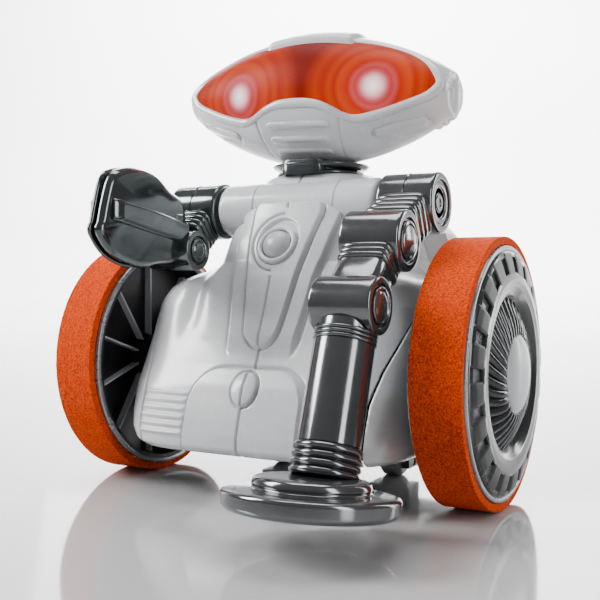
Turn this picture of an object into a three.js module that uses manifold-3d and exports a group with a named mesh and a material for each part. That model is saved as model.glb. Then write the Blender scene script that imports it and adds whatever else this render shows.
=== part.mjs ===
// Self balancing toy robot: a white body on two big foam-tyred wheels, a magnet foot on the
// left arm, a claw on the right arm and a turning head with a translucent visor.
// Millimetres, +Z up, the robot faces -Y and its own left side is +X. The floor is z = 0.
import * as THREE from 'three';
import { mergeVertices } from 'three/addons/utils/BufferGeometryUtils.js';
import Module from 'manifold-3d';

const wasm = await Module();
wasm.setup();

const DEG = Math.PI / 180;
const GAP = 0.3; // clearance between neighbouring pieces
const WALL = 1.6; // moulded wall thickness

// Where the wheel axle sits ahead of the middle of the robot's footprint.
const AXLE_Y = 15.4;

// Wheels
const WHEEL_R = 35;
const TYRE_IN_X = 47.8;
const TYRE_OUT_X = 60.4;
const RIM_R = 32.6;
const CAP_TIP_X = 65.6;
const AXLE_R = 2;

// Body pod: height, half width and front face of each level
const POD_LEVELS = [
  [13, 38.5, -31.6], [16, 41.5, -33.6], [22, 43.2, -32.6], [30, 43.6, -29.8], [34.5, 43.4, -27.5],
  [36, 43.2, -23.6], [48, 42.2, -19.7], [55, 40.6, -17.6], [58.5, 38.2, -16.6], [61, 33.4, -16],
  [64, 28.4, -14.6], [70, 26, -11.2], [75, 24.6, -8.3], [81, 22.4, -4.8], [87.5, 18.6, -0.6],
  [89.5, 16.6, 1.2],
];
const POD_BACK_Y = 26;
const POD_POWER = 5; // squareness of the body's section at its base
const POD_TOP_POWER = 3.2; // and from the shoulders' underside up
const POD_ROUNDING_Z = [48, 64]; // it changes between these heights
const POD_TOP_Z = 89.5;
const SIDE_SPLIT_X = 34.5; // the side panels start here

// Back housing: height, half width and rear face of each level
const HOUSING_LEVELS = [
  [13, 38, 40.5], [17, 41, 43], [30, 42.6, 44], [50, 41, 44], [60, 38.6, 44], [71, 35.4, 43],
  [76, 31.5, 39.5],
];
const HOUSING_POWER = 6;

// Shoulder tube across the chest
const SHOULDER_Y = 3;
const SHOULDER_Z = 79.5;
const SHOULDER_TUBE_R = 7.8;
const SHOULDER_TUBE_X = 25.6;

// Left arm, seen from the side as joint centres (y, z) and one slope for the forearm
const ARM_X = 34;
const ARM_HALF = 8; // half the width of a joint drum
const DRUM_R = 8.4;
const ELBOW = [-20, 68.6];
const ELBOW_R = 7.8;
const WRIST = [-36.7, 53];
const WRIST_R = 7;
const FOREARM_SLOPE = 19.5 * DEG;
const LOWER_ANGLE = -Math.PI / 2 - FOREARM_SLOPE; // the forearm's direction in the side plane
const FOREARM_R = 7.1;
const BELLOWS_R = 8.1; // the ribs above the foot
const FOOT_R = 19.8;
const FOOT_SLOPE = 8 * DEG; // the foot leans less than the forearm
const FOOT_SOLE = [-56.6, 8.9]; // middle of the magnet foot's underside

// Right arm and claw
const CLAW_ELBOW = [-12.1, 67.4];
const CLAW_ELBOW_R = 5.8;
const CLAW_ROOT = [-17.5, 74.4];
const CLAW_SLOPE = 3 * DEG;

// Chest button
const BUTTON_Y = -12.6;
const BUTTON_Z = 68.5;
const BUTTON_TILT = 29.4 * DEG; // how far the button faces up

// Head
const NECK_Y = 13.5;
const HEAD_Z = 111.7;
const HEAD_HALF = [45.3, 15.8, 18.5];
const HEAD_BLUNTNESS = 0.88; // below 1 fills out the two ends of the head
const HEAD_TAPER = 0.27; // narrows the head's height towards its two ends
const HEAD_ROLL = 2.7 * DEG; // the head rests with its right side a little high
const EAR_X = 40.2; // the shells end here and the ear caps begin

// ---------------------------------------------------------------- solids

function toSolid(geometry) {
  const bare = geometry.clone();
  bare.deleteAttribute('normal');
  bare.deleteAttribute('uv');
  const merged = mergeVertices(bare, 1e-4);
  return new wasm.Manifold(new wasm.Mesh({
    numProp: 3,
    vertProperties: new Float32Array(merged.attributes.position.array),
    triVerts: new Uint32Array(merged.index.array),
  }));
}

function toGeometry(solid) {
  const mesh = solid.getMesh();
  const geometry = new THREE.BufferGeometry();
  geometry.setAttribute('position', new THREE.BufferAttribute(new Float32Array(mesh.vertProperties), 3));
  geometry.setIndex(new THREE.BufferAttribute(new Uint32Array(mesh.triVerts), 1));
  geometry.computeVertexNormals();
  return geometry;
}

function box(x0, x1, y0, y1, z0, z1) {
  const geometry = new THREE.BoxGeometry(x1 - x0, y1 - y0, z1 - z0);
  geometry.translate((x0 + x1) / 2, (y0 + y1) / 2, (z0 + z1) / 2);
  return toSolid(geometry);
}

// A solid of revolution about an axis along X through (y, z). The profile is [x, radius] pairs
// from low x to high x, and starts and ends on the axis or closes on itself.
function turned(profile, y = 0, z = 0, segments = 24) {
  const points = profile.map(([x, r]) => new THREE.Vector2(r, x));
  const geometry = new THREE.LatheGeometry(points, segments);
  geometry.rotateZ(-Math.PI / 2);
  geometry.translate(0, y, z);
  return toSolid(geometry);
}

// The same about an axis along +Z through (x, y); the profile is [z, radius] pairs.
function turnedUp(profile, x = 0, y = 0, segments = 32) {
  const points = profile.map(([z, r]) => new THREE.Vector2(r, z));
  const geometry = new THREE.LatheGeometry(points, segments);
  geometry.rotateX(Math.PI / 2);
  geometry.translate(x, y, 0);
  return toSolid(geometry);
}

function rod(x0, x1, r, y = 0, z = 0, segments = 20) {
  return turned([[x0, 0], [x0, r], [x1, r], [x1, 0]], y, z, segments);
}

function post(z0, z1, r, x = 0, y = 0, segments = 20) {
  return turnedUp([[z0, 0], [z0, r], [z1, r], [z1, 0]], x, y, segments);
}

// A drum along X with rounded rims, centred at x = 0.
function drum(r, y, z, half = ARM_HALF, segments = 20) {
  const round = 1.6;
  const profile = [[-half, 0], [-half, r - round], [-half + 0.5, r - 0.5], [-half + round, r]];
  const mirrored = profile.map(([x, radius]) => [-x, radius]).reverse();
  return turned([...profile, ...mirrored], y, z, segments);
}

// A closed solid through rings of points, each ring anticlockwise seen from above.
function loft(rings) {
  const count = rings[0].length;
  const positions = rings.flat().flatMap((p) => [p.x, p.y, p.z]);
  const index = [];
  for (let level = 0; level + 1 < rings.length; level += 1) {
    for (let i = 0; i < count; i += 1) {
      const a = level * count + i;
      const b = level * count + ((i + 1) % count);
      index.push(a, b, b + count, a, b + count, a + count);
    }
  }
  const last = (rings.length - 1) * count;
  for (let i = 1; i + 1 < count; i += 1) {
    index.push(0, i + 1, i);
    index.push(last, last + i, last + i + 1);
  }
  const geometry = new THREE.BufferGeometry();
  geometry.setAttribute('position', new THREE.BufferAttribute(new Float32Array(positions), 3));
  geometry.setIndex(index);
  return toSolid(geometry);
}

// One level of the body: a superellipse about (0, middleY).
function ring(z, halfWidth, middleY, depth, power, count) {
  const points = [];
  for (let i = 0; i < count; i += 1) {
    const angle = (2 * Math.PI * i) / count;
    const c = Math.cos(angle);
    const s = Math.sin(angle);
    const x = halfWidth * Math.sign(c) * Math.abs(c) ** (2 / power);
    const y = middleY + depth * Math.sign(s) * Math.abs(s) ** (2 / power);
    points.push(new THREE.Vector3(x, y, z));
  }
  return points;
}

function mirrorX(solid) {
  return solid.mirror([1, 0, 0]);
}

const robot = new THREE.Group();

function material(color, roughness, metalness = 0) {
  return { color, roughness, metalness };
}

const WHITE = material(0xe4e4e6, 0.35);
const GREY = material(0xb9babd, 0.4);
const DARK = material(0x3a3d40, 0.3);
const CHROME = material(0x5a5d60, 0.2, 0.8);
const BLACK = material(0x17181a, 0.4);
const ORANGE = material(0xf2641c, 0.9);
const VISOR = material(0xe8401c, 0.15);
const GLOW = material(0xffc8d0, 0.2);
const STEEL = material(0xb8bcc0, 0.3, 1);
const GREEN = material(0x1f5b3a, 0.6);

function add(name, solid, look, parent = robot) {
  const mesh = new THREE.Mesh(toGeometry(solid), new THREE.MeshStandardMaterial(look));
  mesh.name = name;
  parent.add(mesh);
}

function addPair(name, solid, look, parent = robot) {
  add(`${name}_left`, solid, look, parent);
  add(`${name}_right`, mirrorX(solid), look, parent);
}

// ---------------------------------------------------------------- body

function podPower(z) {
  const [from, to] = POD_ROUNDING_Z;
  const share = Math.min(Math.max((z - from) / (to - from), 0), 1);
  return POD_POWER + (POD_TOP_POWER - POD_POWER) * share;
}

function pod(inset) {
  const levels = POD_LEVELS.map(([z, halfWidth, front]) => {
    const depth = POD_BACK_Y - front - inset;
    const height = z === POD_TOP_Z ? z - inset : z;
    return ring(height, halfWidth - inset, POD_BACK_Y, depth, podPower(z), 28);
  });
  if (inset > 0) {
    levels.unshift(levels[0].map((p) => new THREE.Vector3(p.x, p.y, p.z - 5)));
  }
  return loft(levels);
}

function podCavity() {
  const inner = pod(WALL);
  const upper = inner.intersect(box(-60, 60, -60, POD_BACK_Y - WALL, 70, 100));
  const lower = inner.intersect(box(-60, 60, -60, POD_BACK_Y + 1, 0, 74));
  return upper.add(lower);
}

function shoulderTube() {
  const half = [[0, 0], [0, SHOULDER_TUBE_R], [23.6, SHOULDER_TUBE_R], [25, 7.1], [SHOULDER_TUBE_X, 5.6],
    [SHOULDER_TUBE_X, 0]];
  return turned(half, SHOULDER_Y, SHOULDER_Z);
}

// A cylinder along the button's own axis, from depth a to depth b outward of the chest surface.
function chestRod(a, b, r, segments = 20) {
  const geometry = new THREE.CylinderGeometry(r, r, b - a, segments);
  geometry.translate(0, (a + b) / 2, 0);
  return aimAtChest(geometry);
}

function aimAtChest(geometry) {
  geometry.rotateX(Math.PI - BUTTON_TILT);
  geometry.translate(0, BUTTON_Y, BUTTON_Z);
  return toSolid(geometry);
}

function bodyPod() {
  const holes = [
    chestRod(-12, 6, 6.1),
    post(60, 100, 3.9, 0, NECK_Y),
    rod(14, 40, 3.3, SHOULDER_Y, SHOULDER_Z),
    rod(-40, -14, 3.3, SHOULDER_Y, SHOULDER_Z),
    rod(-60, 60, 2.7, 0, WHEEL_R),
  ];
  let shell = pod(0).intersect(box(-60, 60, -60, POD_BACK_Y, 0, 100));
  shell = shell.add(shoulderTube()).add(mirrorX(shoulderTube()));
  shell = shell.subtract(podCavity());
  return holes.reduce((solid, hole) => solid.subtract(hole), shell);
}

function addBody() {
  const shell = bodyPod();
  addPair('torso_shell', shell.intersect(box(GAP / 2, SIDE_SPLIT_X - GAP / 2, -60, 60, 0, 100)), WHITE);
  addPair('side_panel', shell.intersect(box(SIDE_SPLIT_X + GAP / 2, 60, -60, 60, 0, 67)), WHITE);
}

function housing(inset) {
  const middle = POD_BACK_Y + GAP;
  const levels = HOUSING_LEVELS.map(([z, halfWidth, rear], i) => {
    const lift = { 0: inset, [HOUSING_LEVELS.length - 1]: -inset }[i] ?? 0;
    return ring(z + lift, halfWidth - inset, middle, rear - inset - middle, HOUSING_POWER, 24);
  });
  return loft(levels);
}

const DOOR = [-28, 28, 17, 47];
const KEYS = [[-12, 62], [0, 62], [12, 62]];
const KEY_R = 3.6;
const SWITCH = [23, 62];

function addBackHousing() {
  let shell = housing(0).intersect(box(-60, 60, POD_BACK_Y + GAP, 60, 0, 100));
  shell = shell.subtract(housing(WALL).intersect(box(-60, 60, POD_BACK_Y + GAP + WALL, 60, 0, 100)));
  shell = shell.subtract(box(-29, 29, 20, 40, 14.8, 58));
  shell = shell.subtract(box(DOOR[0], DOOR[1], 39, 60, DOOR[2], DOOR[3]));
  KEYS.forEach(([x, z]) => {
    shell = shell.subtract(box(x - KEY_R - GAP, x + KEY_R + GAP, 39, 60, z - KEY_R - GAP, z + KEY_R + GAP));
  });
  shell = shell.subtract(box(SWITCH[0] - 2, SWITCH[0] + 2, 39, 60, SWITCH[1] - 4.3, SWITCH[1] + 4.3));
  add('back_housing', shell, WHITE);

  const door = box(DOOR[0] + GAP, DOOR[1] - GAP, 42.4, 44, DOOR[2] + GAP, DOOR[3] - GAP);
  add('battery_door', door.subtract(yRod(0, 44, 1.3, 40, 50)), GREY);
  const screw = yRod(0, 44, 2.2, 44.3, 45.3).add(yRod(0, 44, 1, 43, 44.3));
  add('battery_door_screw', screw, STEEL);
}

// A cylinder along Y, from y0 to y1, at (x, z).
function yRod(x, z, r, y0, y1, segments = 20) {
  const geometry = new THREE.CylinderGeometry(r, r, y1 - y0, segments);
  geometry.translate(x, (y0 + y1) / 2, z);
  return toSolid(geometry);
}

function addKeys() {
  KEYS.forEach(([x, z], i) => {
    const cap = box(x - KEY_R, x + KEY_R, 41, 45.3, z - KEY_R, z + KEY_R);
    const flange = box(x - KEY_R - 1, x + KEY_R + 1, 39.6, 41, z - KEY_R - 1, z + KEY_R + 1);
    add(`program_key_${i + 1}`, cap.add(flange), DARK);
  });
  const [x, z] = SWITCH;
  const lever = box(x - 1.7, x + 1.7, 41, 45, z - 1.5, z + 1.5);
  add('power_switch', lever.add(box(x - 3, x + 3, 39.6, 41, z - 3, z + 3)), DARK);
}

function addInside() {
  const rim = (z) => ring(z, 33, POD_BACK_Y, 55, POD_POWER, 28);
  let plate = loft([rim(13), rim(14.8)]);
  plate = plate.intersect(box(-60, 60, -60, POD_BACK_Y - 1, 0, 30));
  add('chassis_plate', plate, DARK);

  const cellRows = [[19.5, 24], [34.7, 24], [19.5, 39.2], [34.7, 39.2]];
  cellRows.forEach(([y, z], i) => {
    const cell = turned([[-25, 0], [-25, 7.2], [24, 7.2], [24, 2.7], [25.2, 2.7], [25.2, 0]], y, z, 20);
    add(`battery_cell_${i + 1}`, i % 2 ? mirrorX(cell) : cell, GREEN);
  });
  const outer = box(-27.6, 27.6, 11.8, 39.3, 15.1, 46);
  add('battery_tray', outer.subtract(box(-25.8, 25.8, 0, 60, 16.5, 60)), BLACK);

  let gearbox = box(22.3, 30, -6, 10, 24, 50);
  gearbox = gearbox.subtract(rod(20, 40, AXLE_R + 0.3, 0, WHEEL_R));
  addPair('gearbox', gearbox, BLACK);
  addPair('motor', rod(0.8, 22, 7.5, 1, 46, 24), STEEL);
  add('circuit_board', box(-27, 27, 36, 37.6, 50, 71), GREEN);
}

function addChestButton() {
  const ringSolid = chestRod(-1.8, 0.9, 5.8).subtract(chestRod(-3, 2, 4.5));
  add('button_ring', ringSolid, WHITE);
  const points = [
    [-4, 0], [-4, 5.4], [-2.4, 5.4], [-2.4, 4.15], [0.6, 4.15], [1.6, 3.5], [2.3, 2.2], [2.55, 0],
  ];
  const geometry = new THREE.LatheGeometry(points.map(([h, r]) => new THREE.Vector2(r, h)), 28);
  add('chest_button', aimAtChest(geometry), GREY);
}

function addRearRollers() {
  const x = 19;
  const y = 25;
  const z = 4.6;
  let bracket = box(x - 6.5, x + 6.5, y - 8, y + 5, 10.4, 12.7);
  [-1, 1].forEach((side) => {
    const cheek = x + side * 5.1;
    bracket = bracket.add(box(cheek - 1.3, cheek + 1.3, y - 4, y + 4, 3, 11));
  });
  bracket = bracket.subtract(rod(0, 40, 1.3, y, z, 20));
  addPair('roller_bracket', bracket, DARK);
  const profile = [[-6, 0], [-6, 1], [-3.4, 1], [-3.4, 3.6], [-2.4, 4.6], [2.4, 4.6], [3.4, 3.6], [3.4, 1],
    [6, 1], [6, 0]];
  addPair('rear_roller', turned(profile.map(([dx, r]) => [x + dx, r]), y, z, 24), GREY);
}

// ---------------------------------------------------------------- wheels

function addWheels() {
  const hub = new THREE.Group();
  hub.position.set(0, 0, WHEEL_R);
  robot.add(hub);

  const tyre = [[TYRE_IN_X, RIM_R + GAP], [TYRE_IN_X, 34.6], [TYRE_IN_X + 0.5, WHEEL_R],
    [TYRE_OUT_X - 0.5, WHEEL_R], [TYRE_OUT_X, 34.6], [TYRE_OUT_X, RIM_R + GAP], [TYRE_IN_X, RIM_R + GAP]];
  addPair('tyre', turned(tyre, 0, 0, 40), ORANGE, hub);

  const rim = [[46.9, 30.9], [46.9, RIM_R], [60.7, RIM_R], [60.7, 31], [57.8, 30.7], [57.8, AXLE_R + 0.2],
    [50, AXLE_R + 0.2], [50, 5.5], [56, 7], [56, 30.2], [46.9, 30.9]];
  addPair('rim', turned(rim, 0, 0, 32), BLACK, hub);

  const turbine = [[58.1, AXLE_R + 0.2], [58.1, 30.3], [60.5, 30.3], [61.5, 27.5], [61.9, 25], [61.8, 22],
    [60.3, 19.5], [61, 15.5], [63, 11.5], [63, AXLE_R + 0.2], [58.1, AXLE_R + 0.2]];
  addPair('turbine_cover', turned(turbine, 0, 0, 28), CHROME, hub);

  const cap = [[63.3, 0], [63.3, 9.9], [64.2, 9.9], [65, 7.5], [65.5, 4], [CAP_TIP_X, 0]];
  addPair('hub_cap', turned(cap, 0, 0, 20), GREY, hub);
  addPair('axle', rod(21, 62.9, AXLE_R, 0, 0, 20), STEEL, hub);
}

// ---------------------------------------------------------------- head

// The head's form is an ellipsoid with blunt ends.
function ellipsoid(inset) {
  return toSolid(headForm(...HEAD_HALF.map((half) => half - inset)));
}

function headForm(a, b, c) {
  const geometry = new THREE.SphereGeometry(1, 28, 14);
  geometry.rotateZ(Math.PI / 2);
  const position = geometry.attributes.position;
  for (let i = 0; i < position.count; i += 1) {
    const x = position.getX(i);
    position.setX(i, Math.sign(x) * Math.abs(x) ** HEAD_BLUNTNESS);
    position.setZ(i, position.getZ(i) * Math.max(0, 1 - x * x) ** HEAD_TAPER);
  }
  geometry.scale(a, b, c);
  return geometry;
}

// The visor's outline seen from the front, grown by margin: a long lens with an arch over the nose.
function visorOutline(margin) {
  const shape = new THREE.Shape();
  const end = 39 + margin;
  shape.moveTo(-end, 3);
  shape.bezierCurveTo(-36, -3 - margin, -26, -6.3 - margin, -19, -6.4 - margin);
  shape.bezierCurveTo(-12, -6.4 - margin, -9, -2.6 - margin, 0, -2.4 - margin);
  shape.bezierCurveTo(9, -2.6 - margin, 12, -6.4 - margin, 19, -6.4 - margin);
  shape.bezierCurveTo(26, -6.3 - margin, 36, -3 - margin, end, 3);
  shape.bezierCurveTo(34, 10 + margin, 18, 15 + margin, 0, 15 + margin);
  shape.bezierCurveTo(-18, 15 + margin, -34, 10 + margin, -end, 3);
  return shape;
}

function frontPrism(shape, y0, y1) {
  const options = { depth: y1 - y0, bevelEnabled: false, curveSegments: 4 };
  const geometry = new THREE.ExtrudeGeometry(shape, options);
  geometry.rotateX(Math.PI / 2);
  geometry.translate(0, y1, 0);
  return toSolid(geometry);
}

function chinOutline(margin) {
  const shape = new THREE.Shape();
  shape.moveTo(-13 - margin, -30);
  shape.lineTo(-13 - margin, -11);
  shape.bezierCurveTo(-12 - margin, -4 + margin, -5, -3.6 + margin, 0, -3.6 + margin);
  shape.bezierCurveTo(5, -3.6 + margin, 12 + margin, -4 + margin, 13 + margin, -11);
  shape.lineTo(13 + margin, -30);
  shape.closePath();
  return shape;
}

function addHead() {
  const head = new THREE.Group();
  head.position.set(0, NECK_Y, HEAD_Z);
  head.rotation.y = HEAD_ROLL;
  robot.add(head);

  const neckClear = post(-30, -16.7, 15.6, 0, 0);
  const outer = ellipsoid(0);
  const cavity = ellipsoid(WALL).subtract(box(-60, 60, -30, 30, -30, -15.1));
  const shell = outer.subtract(neckClear).subtract(cavity);
  const middle = box(-EAR_X, EAR_X, -60, 60, -60, 60);

  const visorWindow = frontPrism(visorOutline(0.6), -40, -1);
  const chinWindow = frontPrism(chinOutline(0), -40, -3);
  let front = shell.intersect(middle).intersect(box(-60, 60, -60, -GAP / 2, -60, 60));
  front = front.subtract(visorWindow).subtract(chinWindow);
  add('face_shell', front, WHITE, head);
  let rear = shell.intersect(middle).intersect(box(-60, 60, GAP / 2, 60, -60, 60));
  rear = rear.subtract(box(-14.3, 14.3, -8, 8, 16.2, 30));
  add('head_shell_rear', rear, WHITE, head);

  const visor = ellipsoid(0.2).subtract(ellipsoid(1.4)).intersect(frontPrism(visorOutline(0.2), -40, -1.4));
  add('visor', visor, VISOR, head);

  let chin = shell.intersect(frontPrism(chinOutline(-GAP), -40, -3.4));
  chin = chin.subtract(visorWindow);
  [-7.6, -11.4, -14.6].forEach((z, i) => {
    chin = chin.add(box(-8.2 + i * 0.6, 8.2 - i * 0.6, [-14.6, -12.9, -10.5][i], -9, z - 0.5, z + 0.5)
      .intersect(outer.scale([1, 1.05, 1]).subtract(ellipsoid(0.8))));
  });
  add('chin_panel', chin, WHITE, head);

  add('crown_ridge', crownRidge(), WHITE, head);

  const steps = [[GAP, 0], [GAP, 9.2], [1.4, 9.2], [1.4, 7.8], [2.4, 7.8], [2.4, 6.2],
    [3.4, 6.2], [3.4, 4.6], [4.4, 3], [4.4, 0]];
  const cap = turned(steps.map(([out, r]) => [EAR_X + out, r]), 0, 0, 20).scale([1, 0.8, 1]);
  addPair('ear_cap', cap, WHITE, head);

  const lamp = [[-3, 0], [-3, 2.9], [-2, 2.9], [-2, 2.5], [2, 2.5], [3.6, 1.9], [4.6, 0]];
  const eye = new THREE.LatheGeometry(lamp.map(([h, r]) => new THREE.Vector2(r, h)), 20);
  eye.rotateX(Math.PI / 2);
  eye.translate(22.5, -6.2, 0.6);
  addPair('eye_led', toSolid(eye), GLOW, head);
  const reflector = box(-30, 30, -3.2, -2, -6, 7);
  add('eye_board', reflector, BLACK, head);
}

// The raised strip on top of the head, a slice of a slightly taller ellipsoid.
function crownRidge() {
  const tall = toSolid(headForm(32, 14, 21.3));
  return tall.subtract(ellipsoid(-GAP)).intersect(box(-14, 14, -9, 9, 14, 40));
}

function addNeck() {
  const base = turnedUp([[89.8, 0], [89.8, 13], [91, 12], [91, 0]], 0, NECK_Y, 36);
  const block = box(-8, 8, NECK_Y - 7, NECK_Y + 7, 91, 92.3);
  const bore = post(80, 100, 3.7, 0, NECK_Y);
  add('neck_base', base.add(block).subtract(bore), DARK);
  let plate = turnedUp([[92.6, 0], [92.6, 12.6], [93.3, 13.8], [94, 13.8], [94, 0]], 0, NECK_Y, 36);
  plate = plate.add(post(85, 93, 3.4, 0, NECK_Y)).add(post(83.5, 85.5, 5.5, 0, NECK_Y));
  add('neck_plate', plate, DARK);
}

// ---------------------------------------------------------------- arms

// A rounded bar section, width along X and height across, as an outline.
function barOutline(width, height, round) {
  const w = width / 2;
  const h = height / 2;
  const shape = new THREE.Shape();
  shape.moveTo(-w + round, -h);
  shape.lineTo(w - round, -h);
  shape.absarc(w - round, -h + round, round, -Math.PI / 2, 0);
  shape.absarc(w - round, h - round, round, 0, Math.PI / 2);
  shape.absarc(-w + round, h - round, round, Math.PI / 2, Math.PI);
  shape.absarc(-w + round, -h + round, round, Math.PI, 1.5 * Math.PI);
  return shape;
}

// A bar with that section from distance a to b along the direction from one joint, where
// angle is measured in the side plane from +Y towards +Z.
function bar(centre, angle, a, b, width, height, round) {
  const geometry = new THREE.ExtrudeGeometry(barOutline(width, height, round), {
    depth: b - a, bevelEnabled: false, curveSegments: 1,
  });
  geometry.translate(0, 0, a);
  geometry.rotateX(angle - Math.PI / 2);
  return place(geometry, centre);
}

// The extrusion's +Z is turned to the side-plane direction (cos angle, sin angle) of (Y, Z).
function place(geometry, [y, z]) {
  geometry.translate(0, y, z);
  return toSolid(geometry);
}

function bellows(centre, angle, a, b, ribs, width, height, round) {
  let solid = bar(centre, angle, a, b, width - 1.4, height - 1.4, round);
  const pitch = (b - a) / ribs;
  for (let i = 0; i < ribs; i += 1) {
    const start = a + pitch * (i + 0.2);
    solid = solid.add(bar(centre, angle, start, start + pitch * 0.6, width, height, round));
  }
  return solid;
}

// The wedge of space that a link's neck sweeps through a drum's wall.
function sweptSlot([y, z], from, to, r, halfWidth) {
  const shape = new THREE.Shape();
  shape.moveTo(0, 0);
  const steps = 6;
  for (let i = 0; i <= steps; i += 1) {
    const angle = from + ((to - from) * i) / steps;
    shape.lineTo(r * Math.cos(angle), r * Math.sin(angle));
  }
  shape.closePath();
  const geometry = new THREE.ExtrudeGeometry(shape, { depth: 2 * halfWidth, bevelEnabled: false });
  geometry.rotateY(Math.PI / 2);
  geometry.rotateX(Math.PI / 2);
  geometry.translate(-halfWidth, y, z);
  return toSolid(geometry);
}

const CORE_R = 5;
const NECK_HALF = 4;
const NECK_HEIGHT = 5;

// A drum with a bore for the next link's core and a slot for its neck.
function hingeDrum(centre, r, boreR, from, to, half = ARM_HALF) {
  const [y, z] = centre;
  return drum(r, y, z, half)
    .subtract(rod(-20, 20, boreR, y, z, 20))
    .subtract(sweptSlot(centre, from, to, 20, NECK_HALF + GAP));
}

// The core that turns inside a drum, with the neck that reaches out of its slot.
function hingeCore(centre, angle, r, coreR, half = ARM_HALF) {
  const [y, z] = centre;
  return rod(-half - 0.3, half + 0.3, coreR, y, z, 20)
    .add(bar(centre, angle, 0, r + 2.5, 2 * NECK_HALF, NECK_HEIGHT, 1));
}

function sidewaysAngle([y0, z0], [y1, z1]) {
  return Math.atan2(z1 - z0, y1 - y0);
}

function addLeftArm() {
  const arm = new THREE.Group();
  arm.position.x = ARM_X;
  robot.add(arm);
  const shoulder = [SHOULDER_Y, SHOULDER_Z];
  const upperAngle = sidewaysAngle(shoulder, ELBOW);
  const middleAngle = sidewaysAngle(ELBOW, WRIST);

  let upper = drum(DRUM_R, ...shoulder).add(rod(-19, 0, 3, ...shoulder, 24));
  upper = upper.add(bellows(shoulder, upperAngle, 6, 19.5, 4, 13.5, 11.5, 3));
  upper = upper.subtract(rod(-20, 20, ELBOW_R - 0.2, ...ELBOW));
  upper = upper.add(hingeDrum(ELBOW, ELBOW_R, CORE_R + GAP, middleAngle - 70 * DEG, middleAngle + 48 * DEG));
  add('left_upper_arm', upper, CHROME, arm);

  let middle = bellows(ELBOW, middleAngle, 6, 12, 3, 13, 10.5, 3);
  middle = middle.add(bar(ELBOW, middleAngle, 11.5, 18, 12, 9.6, 2.5));
  middle = middle.subtract(rod(-20, 20, ELBOW_R + GAP + 0.1, ...ELBOW));
  middle = middle.add(hingeCore(ELBOW, middleAngle, ELBOW_R, CORE_R));
  middle = middle.subtract(rod(-20, 20, WRIST_R - 0.2, ...WRIST));
  const wristSlot = [LOWER_ANGLE - 82 * DEG, LOWER_ANGLE + 48 * DEG];
  middle = middle.add(hingeDrum(WRIST, WRIST_R, CORE_R - 0.5 + GAP, ...wristSlot));
  add('left_elbow_link', middle, CHROME, arm);

  const forearm = turnedForearm()
    .subtract(rod(-20, 20, WRIST_R + GAP + 0.1, ...WRIST))
    .add(hingeCore(WRIST, LOWER_ANGLE, WRIST_R, CORE_R - 0.5));
  add('left_forearm', forearm, CHROME, arm);
  const pocketR = BELLOWS_R + GAP;
  const pocketEnd = 40.3 + GAP;
  const pocket = alongForearm([[30, 0], [30, pocketR], [pocketEnd, pocketR], [pocketEnd, 0]], 24);
  const foot = aboveSole([[6.8, 0], [6.8, 11.2], [5.4, 12.4], [4.4, 12.4], [4, 17.5], [3.2, FOOT_R - 0.5],
    [2.2, FOOT_R], [0.8, FOOT_R], [0, FOOT_R - 1.2], [0, 9.3], [1.2, 9.3], [1.2, 0]], 32);
  add('magnet_foot', foot.subtract(pocket), CHROME, arm);
  add('foot_magnet', aboveSole([[0.9, 0], [0.9, 9], [0, 9], [0, 0]], 24), STEEL, arm);
}

// A turned piece whose axis runs down the forearm from the wrist; the profile is [distance, radius].
function alongForearm(profile, segments) {
  const points = profile.map(([distance, r]) => new THREE.Vector2(r, distance));
  const geometry = new THREE.LatheGeometry(points, segments);
  geometry.rotateX(LOWER_ANGLE);
  return place(geometry, WRIST);
}

// A turned piece of the foot; the profile is [height above the sole, radius] from the top down.
function aboveSole(profile, segments) {
  const points = profile.map(([height, r]) => new THREE.Vector2(r, -height));
  const geometry = new THREE.LatheGeometry(points, segments);
  geometry.rotateX(-Math.PI / 2 - FOOT_SLOPE);
  return place(geometry, FOOT_SOLE);
}

function turnedForearm() {
  const profile = [[5, 0], [5, FOREARM_R]];
  const topRibs = 3;
  for (let i = 0; i < topRibs; i += 1) {
    const t = 7.4 + i * 1.4;
    profile.push([t, FOREARM_R], [t + 0.7, FOREARM_R + 0.6]);
  }
  const lowerRibs = 5;
  for (let i = 0; i < lowerRibs; i += 1) {
    const t = 31.8 + i * 1.7;
    profile.push([t, FOREARM_R], [t + 0.85, FOREARM_R + 0.9]);
  }
  profile.push([40.3, FOREARM_R], [40.3, 0]);
  return alongForearm(profile, 20);
}

// One claw plate seen from the side: two round lobes joined by a waist, narrowing to its root.
function clawOutline() {
  const shape = new THREE.Shape();
  shape.moveTo(0, 3);
  shape.bezierCurveTo(-6, 5, -9, 12, -17, 12.6);
  shape.bezierCurveTo(-23, 13, -29, 10.5, -31, 4);
  shape.bezierCurveTo(-32.5, -1, -31, -7, -27, -9.5);
  shape.bezierCurveTo(-21, -13.5, -14, -12, -10, -10.4);
  shape.bezierCurveTo(-5, -9, -2, -8, 0, -4);
  shape.closePath();
  return shape;
}

// A plate of the claw between x0 and x1, in the claw's own side plane.
function clawPlate(shape, x0, x1) {
  const options = { depth: x1 - x0, bevelEnabled: false, curveSegments: 5 };
  const geometry = new THREE.ExtrudeGeometry(shape, options);
  geometry.rotateY(Math.PI / 2);
  geometry.rotateX(Math.PI / 2);
  geometry.translate(x0, 0, 0);
  geometry.rotateX(-CLAW_SLOPE);
  return place(geometry, CLAW_ROOT);
}

function barShape(y0, y1, z0, z1) {
  const shape = new THREE.Shape();
  shape.moveTo(y0, z0);
  shape.lineTo(y1, z0);
  shape.lineTo(y1, z1);
  shape.lineTo(y0, z1);
  shape.closePath();
  return shape;
}

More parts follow.
